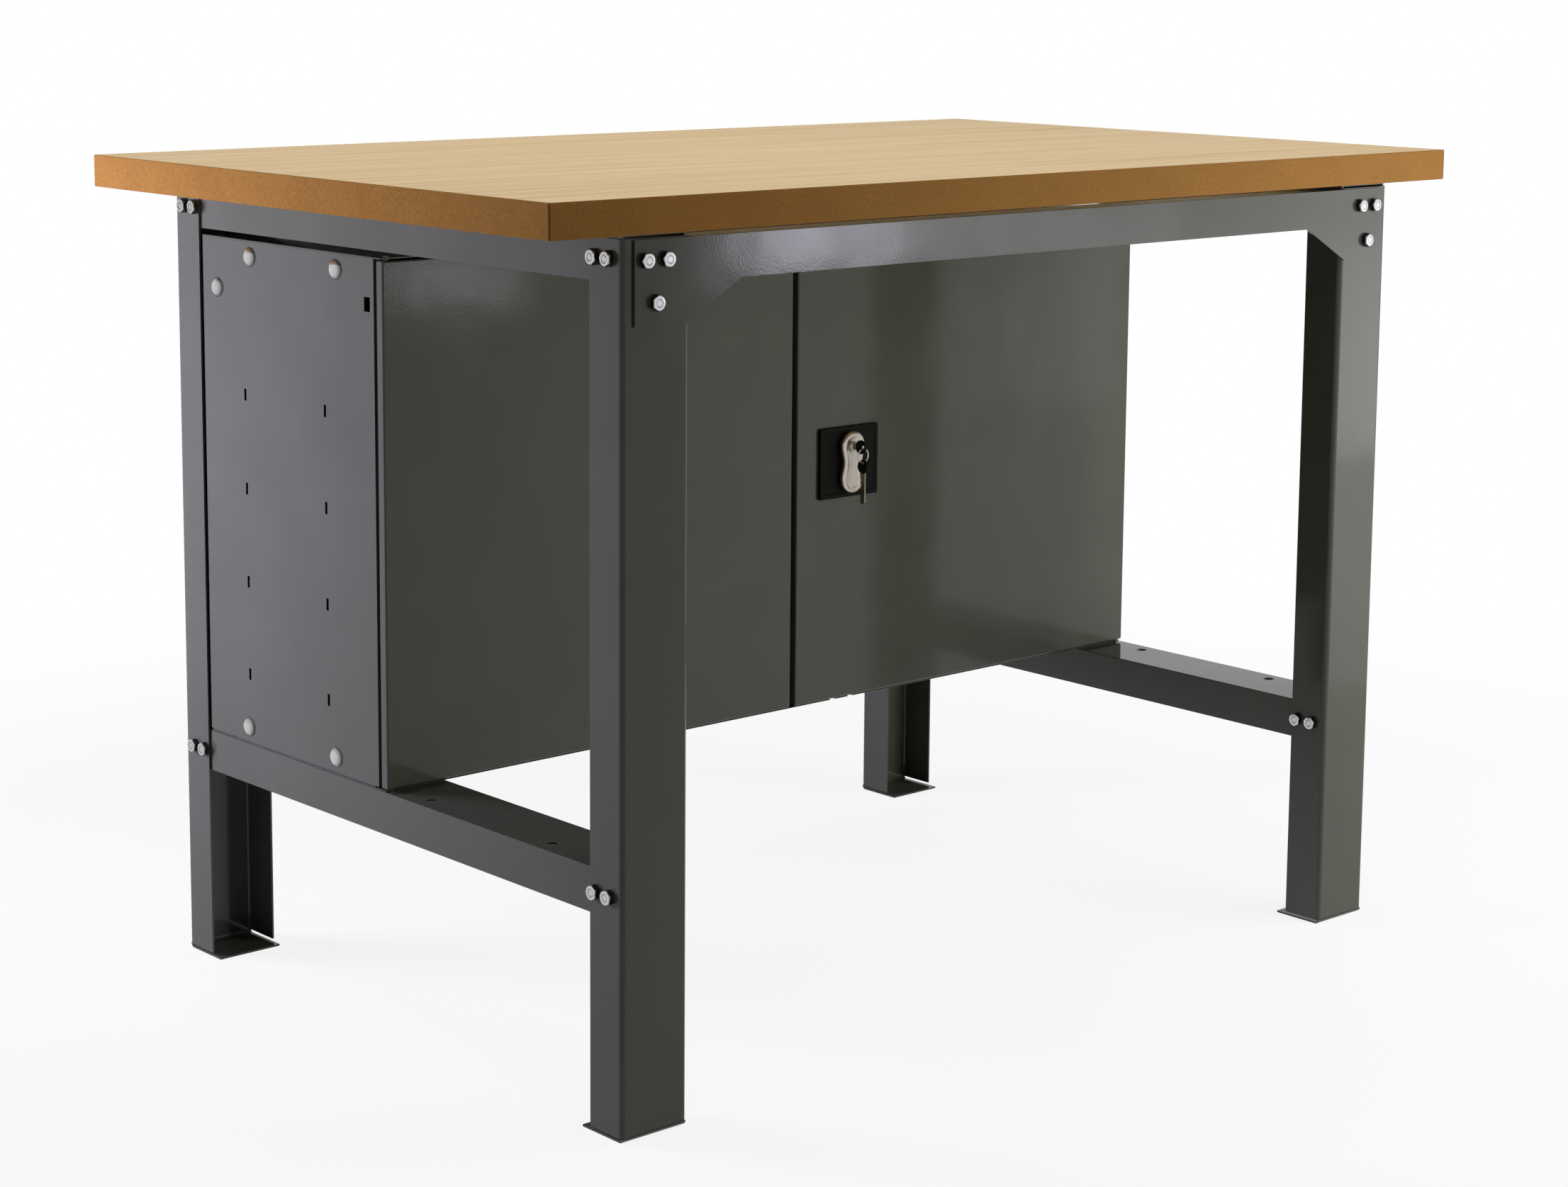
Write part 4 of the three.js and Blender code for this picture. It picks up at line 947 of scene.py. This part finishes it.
class BENCH_OT_lock(bpy.types.Operator):
    """Builds the lock plate, two-lobed handle, plug, keys and ring"""

    bl_idname = "bench.lock"
    bl_label = "Lock"

    # Thickness of the ring's wire against the solid's.
    WIRE_SHARE = 1.1
    # Insets and depths of the step to the plate's sunk middle.
    PLATE_STEP = ((0.0045, 0.0), (0.0052, 0.0007), (0.008, 0.0007))
    # Space behind the handle, inset and height of its back edge, the rim round its dish, the dish's slope,
    # and the waist as a share of the lobes' width.
    HANDLE_LIFT = 0.0015
    BACK_EDGE = (0.0015, 0.001)
    DISH_RIM = 0.0004
    DISH_SLOPE = 0.0045
    WAIST = 0.7
    # The plug's eased rim, and the depth and two radii, as shares, of the sink round the keyway.
    PLUG_RIM = 0.0006
    PLUG_SINK = 0.0005
    SINK_SHARES = (0.6, 0.55)
    # Sides of a key's head, its eased rim, the flare and depth of its hole's rim, half the blade's thickness,
    # where in the head the blade starts, the plain lengths before and after its cuts, the bevel and width of
    # its tip, and the depths of the cuts as shares of half its width.
    HEAD_SIDES = 48
    HEAD_RIM = 0.0006
    HOLE_RIM = (0.0005, 0.0004)
    BLADE_HALF = 0.001
    BLADE_START = 0.8
    PLAIN = (0.006, 0.003)
    TIP = (0.002, 0.3)
    CUTS = np.array([0, 0.3, 0.1, 0.42, 0.2, 0.35, 0.05, 0.4, 0.15, 0.3, 0.1])

    def execute(self, context):
        sizes = context.scene.bench_sizes
        self.plate(sizes)
        self.handle(sizes)
        self.plug()
        self.key(sizes, "key", "lock_key", Y, Z)
        self.key(sizes, "spare_key", "spare", -Z, Y)
        low, high = box_of("key_ring")
        wire = (high[1] - low[1]) / 2 * self.WIRE_SHARE
        torus = tube_ring((low + high) / 2, (high[0] - low[0]) / 2 - wire, wire, (X, Z, Y))
        make_piece("key_ring_wire", [torus], ["nickel"], "ring", ["key_ring"])
        for node in ("lock_cam", "lock_rod_upper", "lock_rod_lower"):
            dress(node, "zinc")
        return {"FINISHED"}

    def plate(self, sizes):
        """Rounded rectangles from the back to an eased front edge, then a shallow step to a sunk middle."""
        low, high, centre, half = front_of("lock_plate")
        front, ease = low[1], sizes.plate_ease
        levels = [(0.0, high[1])] + quarter_levels(ease, front + ease, front)
        levels += [(inset, front + depth) for inset, depth in self.PLATE_STEP]
        plate = stacked(centre, half, sizes.plate_corner, levels, (X, Z, Y))
        make_piece("lock_plate_moulding", [plate], ["plastic"], "right_door", ["lock_plate"])

    def handle(self, sizes):
        """Two-lobed outlines from the back over a rounded edge into a shallow dish, and a spindle behind."""
        low, high, centre, (wide, tall) = front_of("lock_handle")
        front, ease, dish = low[1], sizes.handle_ease, sizes.handle_dish
        back = box_of("lock_plate")[0][1] - self.HANDLE_LIFT
        inset, edge = self.BACK_EDGE
        levels = [(inset, back), (0.0, back - edge)] + quarter_levels(ease, front + ease, front, 7)
        sweep = np.linspace(0, np.pi, 7)[1:]
        levels += [(ease + self.DISH_RIM + self.DISH_SLOPE * s / np.pi, front + dish * (1 - math.cos(s)) / 2)
                   for s in sweep]
        rings = [placed(peanut(inset, tall, wide * self.WAIST, wide), height, centre, (X, Z, Y))
                 for inset, height in levels]
        axis = front_of("lock_plug")[2]
        spindle = bar(axis, Y, back - OVERLAP, high[1], sizes.spindle / 2, sides=32)
        make_piece("lock_handle_casting", [loft(rings), spindle], ["nickel"], "handle",
                   ["lock_handle"])

    def plug(self):
        """A disc with an eased rim round the key's blade."""
        low, high, centre, (radius, _) = front_of("lock_plug")
        front, back, rim = low[1], high[1], self.PLUG_RIM
        outer, inner = self.SINK_SHARES
        levels = [(back, radius), (front + rim, radius), (front, radius - rim), (front, radius * outer),
                  (front + self.PLUG_SINK, radius * inner)]
        plug = turned(centre, Y, levels)
        make_piece("lock_plug_face", [plug], ["nickel"], "lock_key", ["lock_plug"])

    def key(self, sizes, node, body, along, across):
        """A moulded head, a ring between an outer circle and an off-centre hole, and a notched blade."""
        low, high = box_of(node)
        middle = (low + high) / 2
        bow = np.abs((high - low) @ across) / 2
        reach = np.abs((high - low) @ along) / 2
        head = middle - along * (reach - bow)
        hole = middle - along * (reach - sizes.key_hole_inset)
        axes = np.array([along, across, np.cross(along, across)])
        thick, small, wide = sizes.key_head / 2, sizes.key_hole / 2, sizes.key_blade / 2
        rim, (flare, sink) = self.HEAD_RIM, self.HOLE_RIM
        rims = [(head, bow, rim - thick), (head, bow, thick - rim), (head, bow - rim, thick),
                (hole, small + flare, thick), (hole, small, thick - sink), (hole, small, sink - thick),
                (hole, small + flare, -thick), (head, bow - rim, -thick)]
        turn = np.arange(self.HEAD_SIDES) * 2 * np.pi / self.HEAD_SIDES
        circle = np.stack([np.cos(turn), np.sin(turn)], -1)
        grip = loft([placed(circle * radius, height, centre, axes) for centre, radius, height in rims],
                    closed=True)
        start, tip = bow * self.BLADE_START, 2 * reach - bow
        bevel, blunt = self.TIP[0], self.TIP[1] * wide
        steps = np.linspace(start + self.PLAIN[0], tip - self.PLAIN[1], len(self.CUTS))
        cuts = np.stack([steps, wide * (1 - self.CUTS)], -1)
        outline = np.vstack([[[start, -wide], [tip - bevel, -wide], [tip, -blunt], [tip, blunt]],
                             cuts[::-1], [[start, wide]]])
        blade = loft([placed(outline, height, head, axes) for height in (-self.BLADE_HALF, self.BLADE_HALF)])
        looks = [1] * len(blade[1])
        make_piece(node + "_cut", [grip, (*blade, looks)], ["plastic", "key"], body, [node])


class BENCH_PT_panel(bpy.types.Panel):
    """Lists the bench's steps and sizes"""

    bl_idname = "BENCH_PT_panel"
    bl_label = "Workbench"
    bl_space_type = "VIEW_3D"
    bl_region_type = "UI"
    bl_category = "Workbench"

    def draw(self, context):
        for step in STEPS:
            self.layout.operator(step.bl_idname)
        for group in (context.scene.bench_sizes, context.scene.bench_colours, context.scene.bench_stage):
            column = self.layout.column(align=True)
            for key in group.__annotations__:
                column.prop(group, key)


STEPS = (
    BENCH_OT_stage,
    BENCH_OT_worktop,
    BENCH_OT_legs,
    BENCH_OT_rails,
    BENCH_OT_cabinet,
    BENCH_OT_doors,
    BENCH_OT_frame_bolts,
    BENCH_OT_cabinet_bolts,
    BENCH_OT_lock,
)
GROUPS = (("bench_sizes", BenchSizes), ("bench_colours", BenchColours), ("bench_stage", BenchStage))


def register():
    """Adds the groups to the scene, then the steps and their panel."""
    for key, group in GROUPS:
        bpy.utils.register_class(group)
        setattr(bpy.types.Scene, key, bpy.props.PointerProperty(type=group))
    for step in STEPS:
        bpy.utils.register_class(step)
    bpy.utils.register_class(BENCH_PT_panel)


def unregister():
    """Takes away what register added, in the other order."""
    bpy.utils.unregister_class(BENCH_PT_panel)
    for step in reversed(STEPS):
        bpy.utils.unregister_class(step)
    for key, group in reversed(GROUPS):
        delattr(bpy.types.Scene, key)
        bpy.utils.unregister_class(group)


def main():
    """Runs every step in order."""
    register()
    bpy.ops.bench.stage()
    bpy.ops.bench.worktop()
    bpy.ops.bench.legs()
    bpy.ops.bench.rails()
    bpy.ops.bench.cabinet()
    bpy.ops.bench.doors()
    bpy.ops.bench.frame_bolts()
    bpy.ops.bench.cabinet_bolts()
    bpy.ops.bench.lock()


if __name__ == "__main__":
    main()
